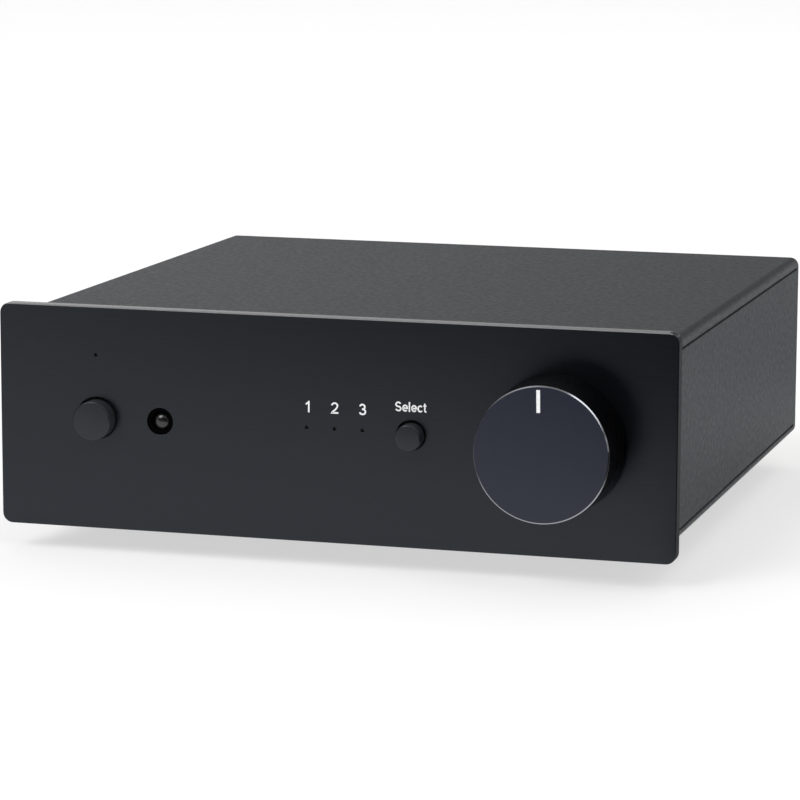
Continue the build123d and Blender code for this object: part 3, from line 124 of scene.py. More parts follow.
class Shade:
    """A node material. Constants sit on the shader's own sockets, and noise drives what varies."""

    def __init__(self, name, rough=0.5, metal=0.0, level=0.5):
        self.mat = bpy.data.materials.new(name)
        self.mat.use_nodes = True
        self.tree = self.mat.node_tree
        self.tree.nodes.clear()
        self.out = self.tree.nodes.new("ShaderNodeOutputMaterial")
        self.shader = self.tree.nodes.new("ShaderNodeBsdfPrincipled")
        self.tree.links.new(self.shader.outputs["BSDF"], self.out.inputs["Surface"])
        self.set(Roughness=rough, Metallic=metal, Specular_IOR_Level=level)
        self.coords = self.tree.nodes.new("ShaderNodeTexCoord").outputs["Object"]
        self.height = None

    def set(self, **values):
        for key, value in values.items():
            self.shader.inputs[key.replace("_", " ")].default_value = value

    def noise(self, size, stretch=(1, 1, 1), detail=2.0, harsh=0.5):
        """Noise with features of about `size` mm, longer by `stretch` along each axis."""
        mapping = self.tree.nodes.new("ShaderNodeMapping")
        mapping.inputs["Scale"].default_value = [1 / (size * MM * s) for s in stretch]
        self.tree.links.new(self.coords, mapping.inputs["Vector"])
        noise = self.tree.nodes.new("ShaderNodeTexNoise")
        noise.inputs["Scale"].default_value = 1.0
        noise.inputs["Detail"].default_value = detail
        noise.inputs["Roughness"].default_value = harsh
        self.tree.links.new(mapping.outputs["Vector"], noise.inputs["Vector"])
        return noise.outputs["Fac"]

    def vector_math(self, operation, source, value=(0, 0, 0)):
        node = self.tree.nodes.new("ShaderNodeVectorMath")
        node.operation = operation
        node.inputs[1].default_value = value
        self.tree.links.new(source, node.inputs[0])
        return node

    def rings(self, x, z, size):
        """Noise that only varies with the distance from the axis along Y through (x, z)."""
        shifted = self.vector_math("SUBTRACT", self.coords, (x * MM, 0, z * MM))
        flat = self.vector_math("MULTIPLY", shifted.outputs["Vector"], (1, 0, 1))
        length = self.vector_math("LENGTH", flat.outputs["Vector"])
        noise = self.tree.nodes.new("ShaderNodeTexNoise")
        noise.noise_dimensions = "1D"
        noise.inputs["Scale"].default_value = 1 / (size * MM)
        noise.inputs["Detail"].default_value = 3.0
        self.tree.links.new(length.outputs["Value"], noise.inputs["W"])
        return noise.outputs["Fac"]

    def dull(self, fac, low, high):
        """Roughness that rises from low to high with the noise."""
        spread = self.tree.nodes.new("ShaderNodeMapRange")
        spread.inputs["From Min"].default_value = NOISE_LOW
        spread.inputs["From Max"].default_value = NOISE_HIGH
        spread.inputs["To Min"].default_value = low
        spread.inputs["To Max"].default_value = high
        self.tree.links.new(fac, spread.inputs["Value"])
        self.tree.links.new(spread.outputs["Result"], self.shader.inputs["Roughness"])

    def tint(self, fac, *colors, low=NOISE_LOW, high=NOISE_HIGH):
        """Base colour that runs through sRGB `colors` as `fac` rises from low to high."""
        steps = len(colors) - 1
        stops = [(low + (high - low) * i / steps, srgb(*c)) for i, c in enumerate(colors)]
        color = color_ramp(self.tree, fac, stops)
        self.tree.links.new(color, self.shader.inputs["Base Color"])

    def bump(self, fac, depth):
        """Relief of `depth` mm. Later calls add to earlier ones."""
        node = self.tree.nodes.new("ShaderNodeBump")
        node.inputs["Distance"].default_value = depth * MM
        self.tree.links.new(fac, node.inputs["Height"])
        if self.height is not None:
            self.tree.links.new(self.height, node.inputs["Normal"])
        self.height = node.outputs["Normal"]
        self.tree.links.new(self.height, self.shader.inputs["Normal"])


def surface(name, dark, light, rough, grain, depth=0.0, detail=2.0, stretch=(1, 1, 1), **shader):
    """Material whose colour, roughness and relief all follow one noise of `grain` mm."""
    s = Shade(name, **shader)
    marks = s.noise(grain, stretch, detail)
    s.tint(marks, dark, light)
    s.dull(marks, *rough)
    if depth:
        s.bump(marks, depth)
    return s.mat


def metal(name, dark, light, rough, grain=0.15, depth=0.002):
    return surface(name, dark, light, rough, grain, depth, detail=3.0, metal=1.0)


def plastic(name, dark, light, rough, grain=0.25, depth=0.006, level=0.5):
    return surface(name, dark, light, rough, grain, depth, level=level)


def brushed_black(name):
    """Anodised over brushing along X. The tint gives its reflections their bluish tone."""
    s = Shade(name, level=0.553)
    s.set(Specular_Tint=(0.815, 0.867, 1.0, 1.0))
    streaks = s.noise(0.11, stretch=(260, 3, 1), detail=3.0)
    fine = s.noise(0.05, stretch=(400, 2, 1))
    s.tint(streaks, (4, 8, 10), (6, 10, 12))
    s.dull(fine, 0.27, 0.33)
    s.bump(streaks, 0.0009)
    return s.mat


def powder_coat(name, size, depth):
    """Fine-textured coating with grains of `size` mm that stand `depth` mm high."""
    s = Shade(name, level=0.24)
    grain = s.noise(size, harsh=0.65)
    coarse = s.noise(0.8, detail=1.0)
    s.tint(grain, (14, 18, 23), (26, 30, 35), (42, 47, 52), low=0.34)
    s.dull(coarse, 0.38, 0.47)
    s.bump(grain, depth)
    s.bump(coarse, depth * 0.3)
    return s.mat


def turned_black(name, x, z, dark, light):
    """Face with fine turning marks round the axis along Y through (x, z)."""
    s = Shade(name)
    marks = s.rings(x, z, 0.09)
    s.tint(marks, dark, light)
    s.dull(marks, 0.28, 0.34)
    s.bump(marks, 0.0006)
    return s.mat


def lens_plastic(name):
    """Nearly black plastic under a thin glossy coat."""
    s = Shade(name, level=0.55)
    s.set(Coat_Weight=0.25, Coat_Roughness=0.12)
    haze = s.noise(0.6, detail=1.0)
    s.tint(haze, (22, 22, 24), (32, 32, 34))
    s.dull(haze, 0.18, 0.24)
    return s.mat


def circuit_board(name):
    """Green board whose copper shows as a lighter net."""
    s = Shade(name)
    cells = s.tree.nodes.new("ShaderNodeTexVoronoi")
    cells.feature = "DISTANCE_TO_EDGE"
    cells.inputs["Scale"].default_value = 1 / (4.2 * MM)
    s.tree.links.new(s.coords, cells.inputs["Vector"])
    s.tint(cells.outputs["Distance"], (44, 110, 62), (14, 60, 34), low=0.02, high=0.12)
    s.dull(s.noise(0.5), 0.32, 0.46)
    return s.mat


def plain_name(material):
    """Name of a material without the number that Blender adds to a name in use."""
    return material.name.split(".")[0]


# One for each material slot of the frame.
MATERIALS = {
    plain_name(material): material
    for material in (
        brushed_black("panel_anodised"),
        powder_coat("case_coating", 0.20, 0.042),
        surface(
            "knob_anodised",
            (3, 3, 4),
            (6, 6, 8),
            (0.22, 0.32),
            grain=0.12,
            stretch=(40, 1, 40),
            depth=0.001,
            level=0.24,
        ),
        plastic("foot_rubber", (20, 20, 21), (32, 32, 33), (0.72, 0.86), grain=0.3, depth=0.02),
        metal("black_screws", (38, 38, 40), (58, 58, 61), (0.30, 0.44)),
        metal("zinc_steel", (150, 154, 160), (188, 190, 194), (0.30, 0.46)),
        metal("shaft_steel", (160, 162, 165), (200, 201, 204), (0.20, 0.32)),
        metal("nickel_brass", (172, 168, 160), (206, 202, 194), (0.18, 0.32)),
        metal("gold_brass", (222, 178, 92), (232, 190, 104), (0.20, 0.26), 0.6, 0.0002),
        circuit_board("circuit_board"),
        plastic("black_plastic", (20, 20, 21), (32, 32, 34), (0.42, 0.58)),
        plastic("black_gloss", (10, 10, 11), (18, 18, 19), (0.18, 0.30), depth=0.002),
        lens_plastic("dark_lens"),
        # Clear plastic of the light pipes, coloured near black: painted shade for the dark pinholes
        # in front of them.
        surface(
            "clear_plastic",
            (5, 5, 6),
            (10, 10, 11),
            (0.26, 0.36),
            grain=0.3,
            detail=1.0,
            level=0.35,
        ),
        plastic("white_plastic", (214, 213, 208), (232, 231, 227), (0.34, 0.46)),
        plastic("red_plastic", (158, 18, 20), (188, 28, 28), (0.34, 0.46)),
        plastic("blue_sleeve", (20, 34, 78), (30, 46, 96), (0.26, 0.36), depth=0.002),
        plastic("film_box", (150, 40, 26), (176, 54, 36), (0.30, 0.42)),
        plastic("diode_resin", (196, 200, 204), (224, 227, 230), (0.20, 0.34)),
    )
}

# Finishes that only parts of the redrawn pieces have.
KNOB_FACE = turned_black("knob_face", KNOB_X, ROW_Z, (19, 25, 42), (24, 30, 48))
POWER_FACE = turned_black("power_face", POWER_X, SWITCH_Z, (16, 19, 26), (22, 25, 32))
INPUT_FACE = turned_black("input_face", INPUT_X, SWITCH_Z, (15, 18, 25), (21, 24, 31))
CUT_EDGE = surface(
    "knob_cut_edge", (150, 152, 158), (176, 178, 184), (0.12, 0.20), 0.05, metal=1.0
)
CAP_SIDE = plastic("cap_side", (44, 46, 50), (58, 60, 64), (0.36, 0.46), 0.2, 0.001)
PANEL_EDGE = plastic("panel_edge", (14, 16, 20), (20, 22, 26), (0.19, 0.25), 0.2, 0.0005, 0.8)
PANEL_END = plastic("panel_end", (20, 21, 25), (28, 29, 33), (0.54, 0.64), 0.2, 0.002, 0.25)
# Light grey for the panel's top front bevel: a painted highlight along the top edge.
PANEL_TOP_HIGHLIGHT = plastic(
    "panel_top_highlight", (118, 119, 121), (128, 129, 131), (0.40, 0.50), 0.2, 0.0005, 0.3
)
PRINT = plastic("white_print", (240, 241, 242), (252, 253, 254), (0.46, 0.60), 0.1, 0.002)
# Black for the infrared window's bush that takes almost no light: partly the bush's own black,
# partly painted shade in the recess round the lens.
WINDOW_SHADE_BLACK = plastic("window_shade_black", (1, 1, 1), (3, 3, 3), (0.80, 0.95), 0.2, 0.004, 0.04)

for node in nodes.values():
    slots = node.data.materials
    for i, material in enumerate(slots):
        slots[i] = MATERIALS[plain_name(material)]

# The top cover's coating is smoother than that of the rest of the case.
nodes["top_cover"].data.materials[0] = powder_coat("top_coating", 0.22, 0.016)

# ------------------------------------------------------------------ mesh helpers

BEVEL_STEPS = 4
SHARP_ANGLE = 32  # degrees: shallower edges are shaded smooth
SQUARE_CORNERS = ((1, 1), (-1, 1), (-1, -1), (1, -1))


def circle(x, z, r, count=64):
    """Closed loop of points, as a function of how far it is grown."""

    def loop(grow):
        angles = [2 * pi * i / count for i in range(count)]
        return [(x + (r + grow) * cos(a), z + (r + grow) * sin(a)) for a in angles]

    return loop


def round_corners(reach_u, reach_v, r, steps):
    """Points of a box with round corners, whose middles lie at plus and minus the reach."""
    points = []
    for quarter, (su, sv) in enumerate(SQUARE_CORNERS):
        for i in range(steps + 1):
            a = (quarter + i / steps) * pi / 2
            points.append((su * reach_u + r * cos(a), sv * reach_v + r * sin(a)))
    return points


def rounded_box(x, z, w, h, r, steps=8):
    """Closed loop of points, as a function of how far it is grown."""

    def loop(grow):
        return [(x + u, z + v) for u, v in round_corners(w / 2 - r, h / 2 - r, r + grow, steps)]

    return loop


def edge_rings(front, back, front_bevel, back_bevel, sign):
    """(depth, grow) of each ring from the front cap to the back one."""
    rings = []
    for i in range(BEVEL_STEPS + 1):
        a = i / BEVEL_STEPS * pi / 2
        rings.append((front + front_bevel * (1 - cos(a)), -sign * front_bevel * (1 - sin(a))))
    for i in range(BEVEL_STEPS + 1):
        a = pi / 2 * (1 - i / BEVEL_STEPS)
        rings.append((back - back_bevel * (1 - cos(a)), -sign * back_bevel * (1 - sin(a))))
    return rings


def inside(point, loop):
    """Whether a point lies in a closed loop."""
    found = False
    for p, q in zip(loop, [*loop[1:], loop[0]]):
        if (p.y > point.y) != (q.y > point.y):
            if point.x < p.x + (point.y - p.y) / (q.y - p.y) * (q.x - p.x):
                found = not found
    return found


def add_object(name, data):
    """New object in the scene."""
    item = bpy.data.objects.new(name, data)
    bpy.context.scene.collection.objects.link(item)
    return item


class Solid:
    """Collects the points and faces of one piece, in mm."""

    def __init__(self):
        self.verts, self.faces, self.mats, self.flat = [], [], [], set()

    def ring(self, points):
        start = len(self.verts)
        self.verts.extend(points)
        return list(range(start, start + len(points)))

    def face(self, corners, mat=0):
        self.faces.append(tuple(corners))
        self.mats.append(mat)

    def bridge(self, a, b, mat=0):
        """Wall between two rings of as many points."""
        n = len(a)
        for i in range(n):
            self.face((a[i], a[(i + 1) % n], b[(i + 1) % n], b[i]), mat)

    def fan(self, ring, tip, mat=0):
        """Faces from a ring to one point."""
        n = len(ring)
        for i in range(n):
            self.face((ring[i], ring[(i + 1) % n], tip), mat)

    def cap(self, rings, mat=0):
        """Flat face with holes, at one depth along Y or Z: the first ring is its outline."""
        index = [i for ring in rings for i in ring]
        points = [Vector(self.verts[i]) for i in index]
        level = all(abs(p.z - points[0].z) < 1e-9 for p in points)
        flat = [Vector((p.x, p.y if level else p.z)) for p in points]
        edges, loops, start = [], [], 0
        for ring in rings:
            n = len(ring)
            edges.extend((start + i, start + (i + 1) % n) for i in range(n))
            loops.append(flat[start : start + n])
            start += n
        spots, _, faces, sources, _, _ = delaunay_2d_cdt(flat, edges, [], 0, 1e-9)
        outline, *holes = loops
        for face in faces:
            middle = sum((spots[i] for i in face), Vector((0, 0))) / 3
            if inside(middle, outline) and not any(inside(middle, hole) for hole in holes):
                self.flat.add(len(self.faces))
                self.face((index[sources[i][0]] for i in face), mat)

    def plate(self, outline, holes, front, back):
        """Plate between two depths. front and back each give depth, outer bevel and hole bevel."""
        tops, bottoms = [], []
        for loop, k, sign in ((outline, 1, 1), *((h, 2, -1) for h in holes)):
            rings = [
                self.ring([(x, depth, z) for x, z in loop(grow)])
                for depth, grow in edge_rings(front[0], back[0], front[k], back[k], sign)
            ]
            for a, b in zip(rings, rings[1:]):
                self.bridge(a, b)
            tops.append(rings[0])
            bottoms.append(rings[-1])
        self.cap(tops)
        self.cap(bottoms)

    def turned(self, place, profile, count=96, paint=None):
        """Surface of revolution, through the (depth, radius) points of the profile.

        place(depth, radius, angle) gives a point, and paint(depth) picks the material of each
        strip. Returns the first ring.
        """
        rings = []
        for depth, r in profile:
            turns = [0] if r == 0 else [2 * pi * i / count for i in range(count)]
            rings.append(self.ring([place(depth, r, a) for a in turns]))
        for k in range(1, len(profile)):
            last, ring = rings[k - 1], rings[k]
            mat = paint((profile[k - 1][0] + profile[k][0]) / 2) if paint else 0
            if len(last) == 1:
                self.fan(ring, last[0], mat)
            elif len(ring) == 1:
                self.fan(last, ring[0], mat)
            else:
                self.bridge(last, ring, mat)
        return rings[0]

    def make(self, name, materials, body, replaced=None, slot=None):
        """Piece with welded points, outward faces, and smooth shading across shallow edges."""
        mesh = bpy.data.meshes.new(name)
        mesh.from_pydata([Vector(v) * MM for v in self.verts], [], self.faces)
        for material in materials:
            mesh.materials.append(MATERIALS[material] if isinstance(material, str) else material)
        smooth = [i not in self.flat for i in range(len(self.faces))]
        mesh.polygons.foreach_set("material_index", self.mats)
        mesh.polygons.foreach_set("use_smooth", smooth)
        work = bmesh.new()
        work.from_mesh(mesh)
        bmesh.ops.remove_doubles(work, verts=work.verts, dist=1e-7)
        bmesh.ops.dissolve_degenerate(work, edges=work.edges, dist=1e-7)
        bmesh.ops.recalc_face_normals(work, faces=work.faces)
        work.to_mesh(mesh)
        work.free()
        smooth = [face.use_smooth for face in mesh.polygons]
        mesh.set_sharp_from_angle(angle=radians(SHARP_ANGLE))  # this makes every face smooth
        mesh.polygons.foreach_set("use_smooth", smooth)
        piece = add_object(name, mesh)
        weighted = piece.modifiers.new("weighted", "WEIGHTED_NORMAL")
        weighted.keep_sharp = True
        weighted.weight = 90
        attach(piece, body)
        if replaced:
            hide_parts(replaced)


def along_y(x, z):
    """Turned about an axis along Y."""
    return lambda depth, r, a: (x + r * cos(a), depth, z + r * sin(a))


def along_z(x, y):
    """Turned about an axis along Z."""
    return lambda depth, r, a: (x + r * cos(a), y + r * sin(a), depth)


def eased(points, radii):
    """Profile whose corners are rounded, each by its own radius in `radii`."""
    out = [points[0]]
    for k in range(1, len(points) - 1):
        p, q, s = Vector(points[k - 1]), Vector(points[k]), Vector(points[k + 1])
        u, v = (p - q).normalized(), (s - q).normalized()
        r = min(radii[k], (p - q).length * 0.45, (s - q).length * 0.45)
        if r <= 0 or abs(u.cross(v)) < 1e-6:
            out.append(tuple(q))
            continue
        a, b = q + u * r, q + v * r
        for i in range(BEVEL_STEPS + 1):
            t = i / BEVEL_STEPS
            out.append(tuple(a * (1 - t) ** 2 + q * (2 * t * (1 - t)) + b * t**2))
    out.append(points[-1])
    return out


# ------------------------------------------------------------------ front panel

FRONT_BEVEL, HOLE_BEVEL = 0.16, 0.06
EDGE, END, TOP_HIGHLIGHT = 1, 2, 3  # materials of the panel's outline

panel = Solid()
panel.plate(
    rounded_box(0, ROW_Z, PANEL_W, PANEL_H, PANEL_CORNER, steps=12),
    [
        circle(KNOB_X, ROW_Z, SHAFT_HOLE_R),
        circle(POWER_X, ROW_Z, POWER_HOLE_R),
        circle(INPUT_X, ROW_Z, INPUT_HOLE_R),
        circle(IR_X, ROW_Z, IR_HOLE_R),
        circle(POWER_X, POWER_LED_Z, LED_HOLE_R, count=24),
        *[circle(x, LED_Z, LED_HOLE_R, count=24) for x in LED_XS],
    ],
    front=(FACE_Y, FRONT_BEVEL, HOLE_BEVEL),
    back=(PANEL_BACK_Y, 0.0, 0.0),
)
# The front bevel along the top is light grey: a painted highlight along the top edge. The rest of
# the outline is edge, or end at the sides.
for i, face in enumerate(panel.faces):
    corners = [Vector(panel.verts[k]) for k in face]
    facing = normal(corners)
    on_outline = abs(corners[0].x) > PANEL_W / 2 - 2
    at_top = corners[0].z > ROW_Z + PANEL_H / 2 - 0.65
    on_bevel = 0.3 < abs(facing.y) < 0.99
    if on_outline and at_top and on_bevel and abs(facing.z) > 2.4 * abs(facing.x):
        panel.mats[i] = TOP_HIGHLIGHT
    elif on_outline and abs(facing.y) < 0.6:
        panel.mats[i] = EDGE if abs(facing.z) > 0.6 else END
panel.make("panel", ["panel_anodised", PANEL_EDGE, PANEL_END, PANEL_TOP_HIGHLIGHT], "case", "front_panel")

# ------------------------------------------------------------------ knob

TURNED_FACE, CUT_RING, POINTER = 1, 2, 3  # materials of the knob, besides its side
KNOB_FACE_R, KNOB_REAR_R, KNOB_RECESS_R = 9.88, 10.2, 7.6
RECESS_Y = KNOB_BACK_Y - 5
HUB_R, HUB_BACK_Y = 4.6, -51.9
BORE_R, BORE_END_Y = 3.02, -57.9
CUT = 0.19  # width of the bright ring cut round the face
POINTER_X, POINTER_Z, POINTER_ANGLE = 33.58, 28.0, 91.0
POINTER_L, POINTER_W, POINTER_CORNER, POINTER_DEPTH = 3.25, 0.54, 0.06, 0.05


def pointer_line():
    """Points of a bar with slightly rounded corners, turned by its angle."""
    reach_u, reach_v = POINTER_L / 2 - POINTER_CORNER, POINTER_W / 2 - POINTER_CORNER
    c, s = cos(radians(POINTER_ANGLE)), sin(radians(POINTER_ANGLE))
    return [
        (POINTER_X + u * c - v * s, POINTER_Z + u * s + v * c)
        for u, v in round_corners(reach_u, reach_v, POINTER_CORNER, BEVEL_STEPS)
    ]


knob = Solid()
face_ring = knob.turned(
    along_y(KNOB_X, ROW_Z),
    eased(
        [
            (KNOB_Y, KNOB_FACE_R - CUT),
            (KNOB_Y + CUT, KNOB_FACE_R),
            (KNOB_BACK_Y - 0.3, KNOB_REAR_R),
            (KNOB_BACK_Y, KNOB_REAR_R - 0.3),
            (KNOB_BACK_Y, KNOB_RECESS_R),
            (RECESS_Y, KNOB_RECESS_R),
            (RECESS_Y, HUB_R),
            (HUB_BACK_Y, HUB_R),
            (HUB_BACK_Y, BORE_R),
            (BORE_END_Y, BORE_R),
            (BORE_END_Y, 0),
        ],
        [0, 0.03, 0.12, 0.12, 0.1, 0.2, 0.2, 0.1, 0.1, 0, 0],
    ),
    count=160,
    paint=lambda y: CUT_RING if y < KNOB_Y + CUT - 0.02 else 0,
)
slot_top = knob.ring([(x, KNOB_Y, z) for x, z in pointer_line()])
slot_floor = knob.ring([(x, KNOB_Y + POINTER_DEPTH, z) for x, z in pointer_line()])
knob.cap([face_ring, slot_top], TURNED_FACE)
knob.bridge(slot_top, slot_floor, POINTER)
knob.cap([slot_floor], POINTER)
knob.make("knob", ["knob_anodised", KNOB_FACE, CUT_EDGE, PRINT], "volume", "volume_knob")

# ------------------------------------------------------------------ buttons

POWER_CAP_R, INPUT_CAP_R, CAP_BEVEL = 2.92, 1.95, 0.15
FLANGE_Y = PANEL_BACK_Y + 0.4
FLANGE_BACK_Y = FLANGE_Y + 0.8
STEM_R = 1.6

for name, x, r, body, face_material in (
    ("power", POWER_X, POWER_CAP_R, "power_key", POWER_FACE),
    ("input", INPUT_X, INPUT_CAP_R, "input_key", INPUT_FACE),
):
    tip, back = span(f"{name}_button", "y")
    flange_r = width(f"{name}_button", "x") / 2
    key = Solid()
    key.turned(
        along_y(x, SWITCH_Z),
        eased(
            [
                (tip, 0),
                (tip, r - CAP_BEVEL),
                (tip + CAP_BEVEL, r),
                (FLANGE_Y, r),
                (FLANGE_Y, flange_r),
                (FLANGE_BACK_Y, flange_r),
                (FLANGE_BACK_Y, STEM_R),
                (back, STEM_R),
                (back, 0),
            ],
            [0, 0.08, 0.08, 0.1, 0.1, 0.1, 0.1, 0.1, 0],
        ),
        paint=lambda y, tip=tip: TURNED_FACE if y < tip + CAP_BEVEL else 0,
    )
    materials = [CAP_SIDE, face_material]
    key.make(f"{name}_cap", materials, body, f"{name}_button", slot="knob_anodised")

# ------------------------------------------------------------------ infrared window

BUSH_R, BUSH_BORE_R, BUSH_LIP_Y = 2.0, 1.5, FACE_Y + 0.3
BUSH_FLANGE_R = width("ir_bush", "x") / 2
bush = Solid()
bush.turned(
    along_y(IR_X, ROW_Z),
    eased(
        [
            (BUSH_BACK_Y, BUSH_BORE_R),
            (BUSH_LIP_Y, BUSH_BORE_R),
            (BUSH_LIP_Y, BUSH_R),
            (PANEL_BACK_Y, BUSH_R),
            (PANEL_BACK_Y, BUSH_FLANGE_R),
            (BUSH_BACK_Y, BUSH_FLANGE_R),
            (BUSH_BACK_Y, BUSH_BORE_R),
        ],
        [0, 0.14, 0.1, 0, 0.1, 0.1, 0],
    ),
    count=72,
)
# The bush is near black all over: painted shade round the lens.
bush.make("window_bush", [WINDOW_SHADE_BLACK], "case", "ir_bush", slot="black_gloss")

DOME_R, DOME_DEPTH, DOME_TIP_Y, DOME_STEPS = 1.25, 0.75, FACE_Y + 0.35, 16
RECEIVER_W, RECEIVER_H = width("ir_receiver", "x"), width("ir_receiver", "z")
RECEIVER_CORNER, RECEIVER_BEVEL, LENS_SEAT_R = 0.4, 0.3, 1.0
dome = [(DOME_TIP_Y, 0)]
for i in range(1, DOME_STEPS + 1):
    a = i * pi / 2 / DOME_STEPS
    dome.append((DOME_TIP_Y + DOME_DEPTH * (1 - cos(a)), DOME_R * sin(a)))
lens = Solid()
lens.turned(along_y(IR_X, SWITCH_Z), [*dome, (RECEIVER_Y, DOME_R), (RECEIVER_Y, 0)], count=72)
lens.plate(
    rounded_box(IR_X, SWITCH_Z, RECEIVER_W, RECEIVER_H, RECEIVER_CORNER),
    [circle(IR_X, SWITCH_Z, LENS_SEAT_R, count=24)],
    front=(RECEIVER_Y, RECEIVER_BEVEL, 0.0),
    back=(RECEIVER_BACK_Y, 0.05, 0.0),
)
lens.make("window_lens", ["dark_lens"], "case", "ir_receiver")

# ------------------------------------------------------------------ sockets

SHELL_R, SHELL_BORE_R, SHELL_COLLAR_R, SHELL_COLLAR_Y = 4.15, 3.5, 4.4, 51.0
GROOVE_START_Y, GROOVE_END_Y, GROOVE_DEPTH = 51.4, 51.9, 0.1  # round the foot of each shell
INSERT_R, INSERT_BORE_R, INSERT_Y = 3.48, 1.62, INSERT_TIP_Y - 0.3
shells = Solid()
inserts = {"white": Solid(), "red": Solid()}
for x in SOCKET_XS:
    for z in SOCKET_ZS:
        shells.turned(
            along_y(x, z),
            eased(
                [
                    (SOCKET_BACK_Y, SHELL_BORE_R),
                    (SOCKET_TIP_Y - 0.35, SHELL_BORE_R),
                    (SOCKET_TIP_Y, SHELL_BORE_R + 0.25),
                    (SOCKET_TIP_Y, SHELL_R),
                    (GROOVE_END_Y, SHELL_R),
                    (GROOVE_END_Y - GROOVE_DEPTH, SHELL_R - GROOVE_DEPTH),
                    (GROOVE_START_Y + GROOVE_DEPTH, SHELL_R - GROOVE_DEPTH),
                    (GROOVE_START_Y, SHELL_R),
                    (SHELL_COLLAR_Y, SHELL_R),
                    (SHELL_COLLAR_Y, SHELL_COLLAR_R),
                    (SOCKET_BACK_Y, SHELL_COLLAR_R),
                    (SOCKET_BACK_Y, SHELL_BORE_R),
                ],
                [0, 0.1, 0.06, 0.2, 0.03, 0, 0, 0.03, 0, 0.12, 0, 0],
            ),
            count=72,
        )
        inserts["white" if z > ROW_Z else "red"].turned(
            along_y(x, z),
            eased(
                [
                    (SOCKET_BACK_Y, INSERT_BORE_R),
                    (INSERT_TIP_Y - 0.2, INSERT_BORE_R),
                    (INSERT_TIP_Y, 1.85),
                    (INSERT_TIP_Y, 2.35),
                    (INSERT_Y, 2.5),
                    (INSERT_Y, 3.3),
                    (INSERT_Y - 0.2, INSERT_R),
                    (SOCKET_BACK_Y, INSERT_R),
                    (SOCKET_BACK_Y, INSERT_BORE_R),
                ],
                [0, 0.05, 0.08, 0.1, 0.1, 0.08, 0.05, 0, 0],
            ),
            count=56,
        )
shells.make("socket_shells", ["gold_brass"], "case", "rca_shells")
inserts["white"].make("socket_inserts_white", ["white_plastic"], "case", "rca_inserts_left")
inserts["red"].make("socket_inserts_red", ["red_plastic"], "case", "rca_inserts_right")

# ------------------------------------------------------------------ screws


def key_screw(solid, place, base, top, end, head_r, shank_r, key_r, key_depth, crown):
    """Screw with a crowned head and a hexagon socket, turned about the axis of `place`."""
    up = 1 if top > base else -1
    mouth_bevel = 0.07
    head = solid.turned(
        place,
        eased(
            [
                (top, head_r - crown),
                (top, head_r),
                (base, head_r),
                (base, shank_r),
                (end, shank_r),
                (end, 0),
            ],
            [0, crown, 0.06, 0, 0.1, 0],
        ),
        count=48,
    )

    def hexagon(depth, r):
        corners = [(r * cos(pi / 3 * k), r * sin(pi / 3 * k)) for k in range(6)]
        points = []
        for (u0, v0), (u1, v1) in zip(corners, corners[1:] + corners[:1]):
            for t in (0, 1 / 3, 2 / 3):
                u, v = u0 + (u1 - u0) * t, v0 + (v1 - v0) * t
                points.append(place(depth, (u * u + v * v) ** 0.5, atan2(v, u)))
        return solid.ring(points)

    mouth = hexagon(top, key_r + mouth_bevel)
    wall = hexagon(top - up * mouth_bevel, key_r)
    seat = hexagon(top - up * key_depth, key_r)
    solid.cap([head, mouth])
    solid.bridge(mouth, wall)
    solid.bridge(wall, seat)
    solid.cap([seat])


PANEL_SCREW = {
    "base": REAR_Y,
    "top": PANEL_SCREW_TOP_Y,
    "end": PANEL_SCREW_END_Y,
    "head_r": 2.25,
    "shank_r": 1.45,
    "key_r": 0.9,
    "key_depth": 0.8,
    "crown": 0.55,
}
SOCKET_SCREW = {
    "base": REAR_Y,
    "top": SOCKET_SCREW_TOP_Y,
    "end": SOCKET_SCREW_END_Y,
    "head_r": 2.0,
    "shank_r": 1.2,
    "key_r": 0.85,
    "key_depth": 0.8,
    "crown": 0.5,
}
FOOT_SCREW = {
    "base": FOOT_SCREW_BASE_Z,
    "top": FOOT_SCREW_TOP_Z,
    "end": FOOT_SCREW_END_Z,
    "head_r": 2.75,
    "shank_r": 1.45,
    "key_r": 1.1,
    "key_depth": 1.0,
    "crown": 0.5,
}
for name, replaced, sizes, places in (
    (
        "screws_rear",
        "rear_panel_screws",
        PANEL_SCREW,
        [along_y(x, z) for x in PANEL_SCREW_XS for z in PANEL_SCREW_ZS],
    ),
    ("screws_sockets", "rca_screws", SOCKET_SCREW, [along_y(x, SOCKET_SCREW_Z) for x in SOCKET_XS]),
    ("screws_feet", "foot_screws", FOOT_SCREW, [along_z(x, y) for x in FOOT_XS for y in FOOT_YS]),
):
    screws = Solid()
    for place in places:
        key_screw(screws, place, **sizes)
    screws.make(name, ["black_screws"], "case", replaced)

# ------------------------------------------------------------------ earth terminal

KNURL_GROOVES, KNURL_R, KNURL_DEPTH = 18, 3.99, 0.30
EARTH_SHANK_R = 1.9
earth_axis = along_y(EARTH_X, EARTH_Z)
post = Solid()


def knurled(depth, r, groove):
    """Ring of radius r with rounded grooves of the given depth."""
    points = []
    count = 16 * KNURL_GROOVES
    for i in range(count):
        a = 2 * pi * i / count
        cut = groove * max(0.0, cos(KNURL_GROOVES * a)) ** 1.5
        points.append(earth_axis(depth, r - cut, a))
    return post.ring(points)


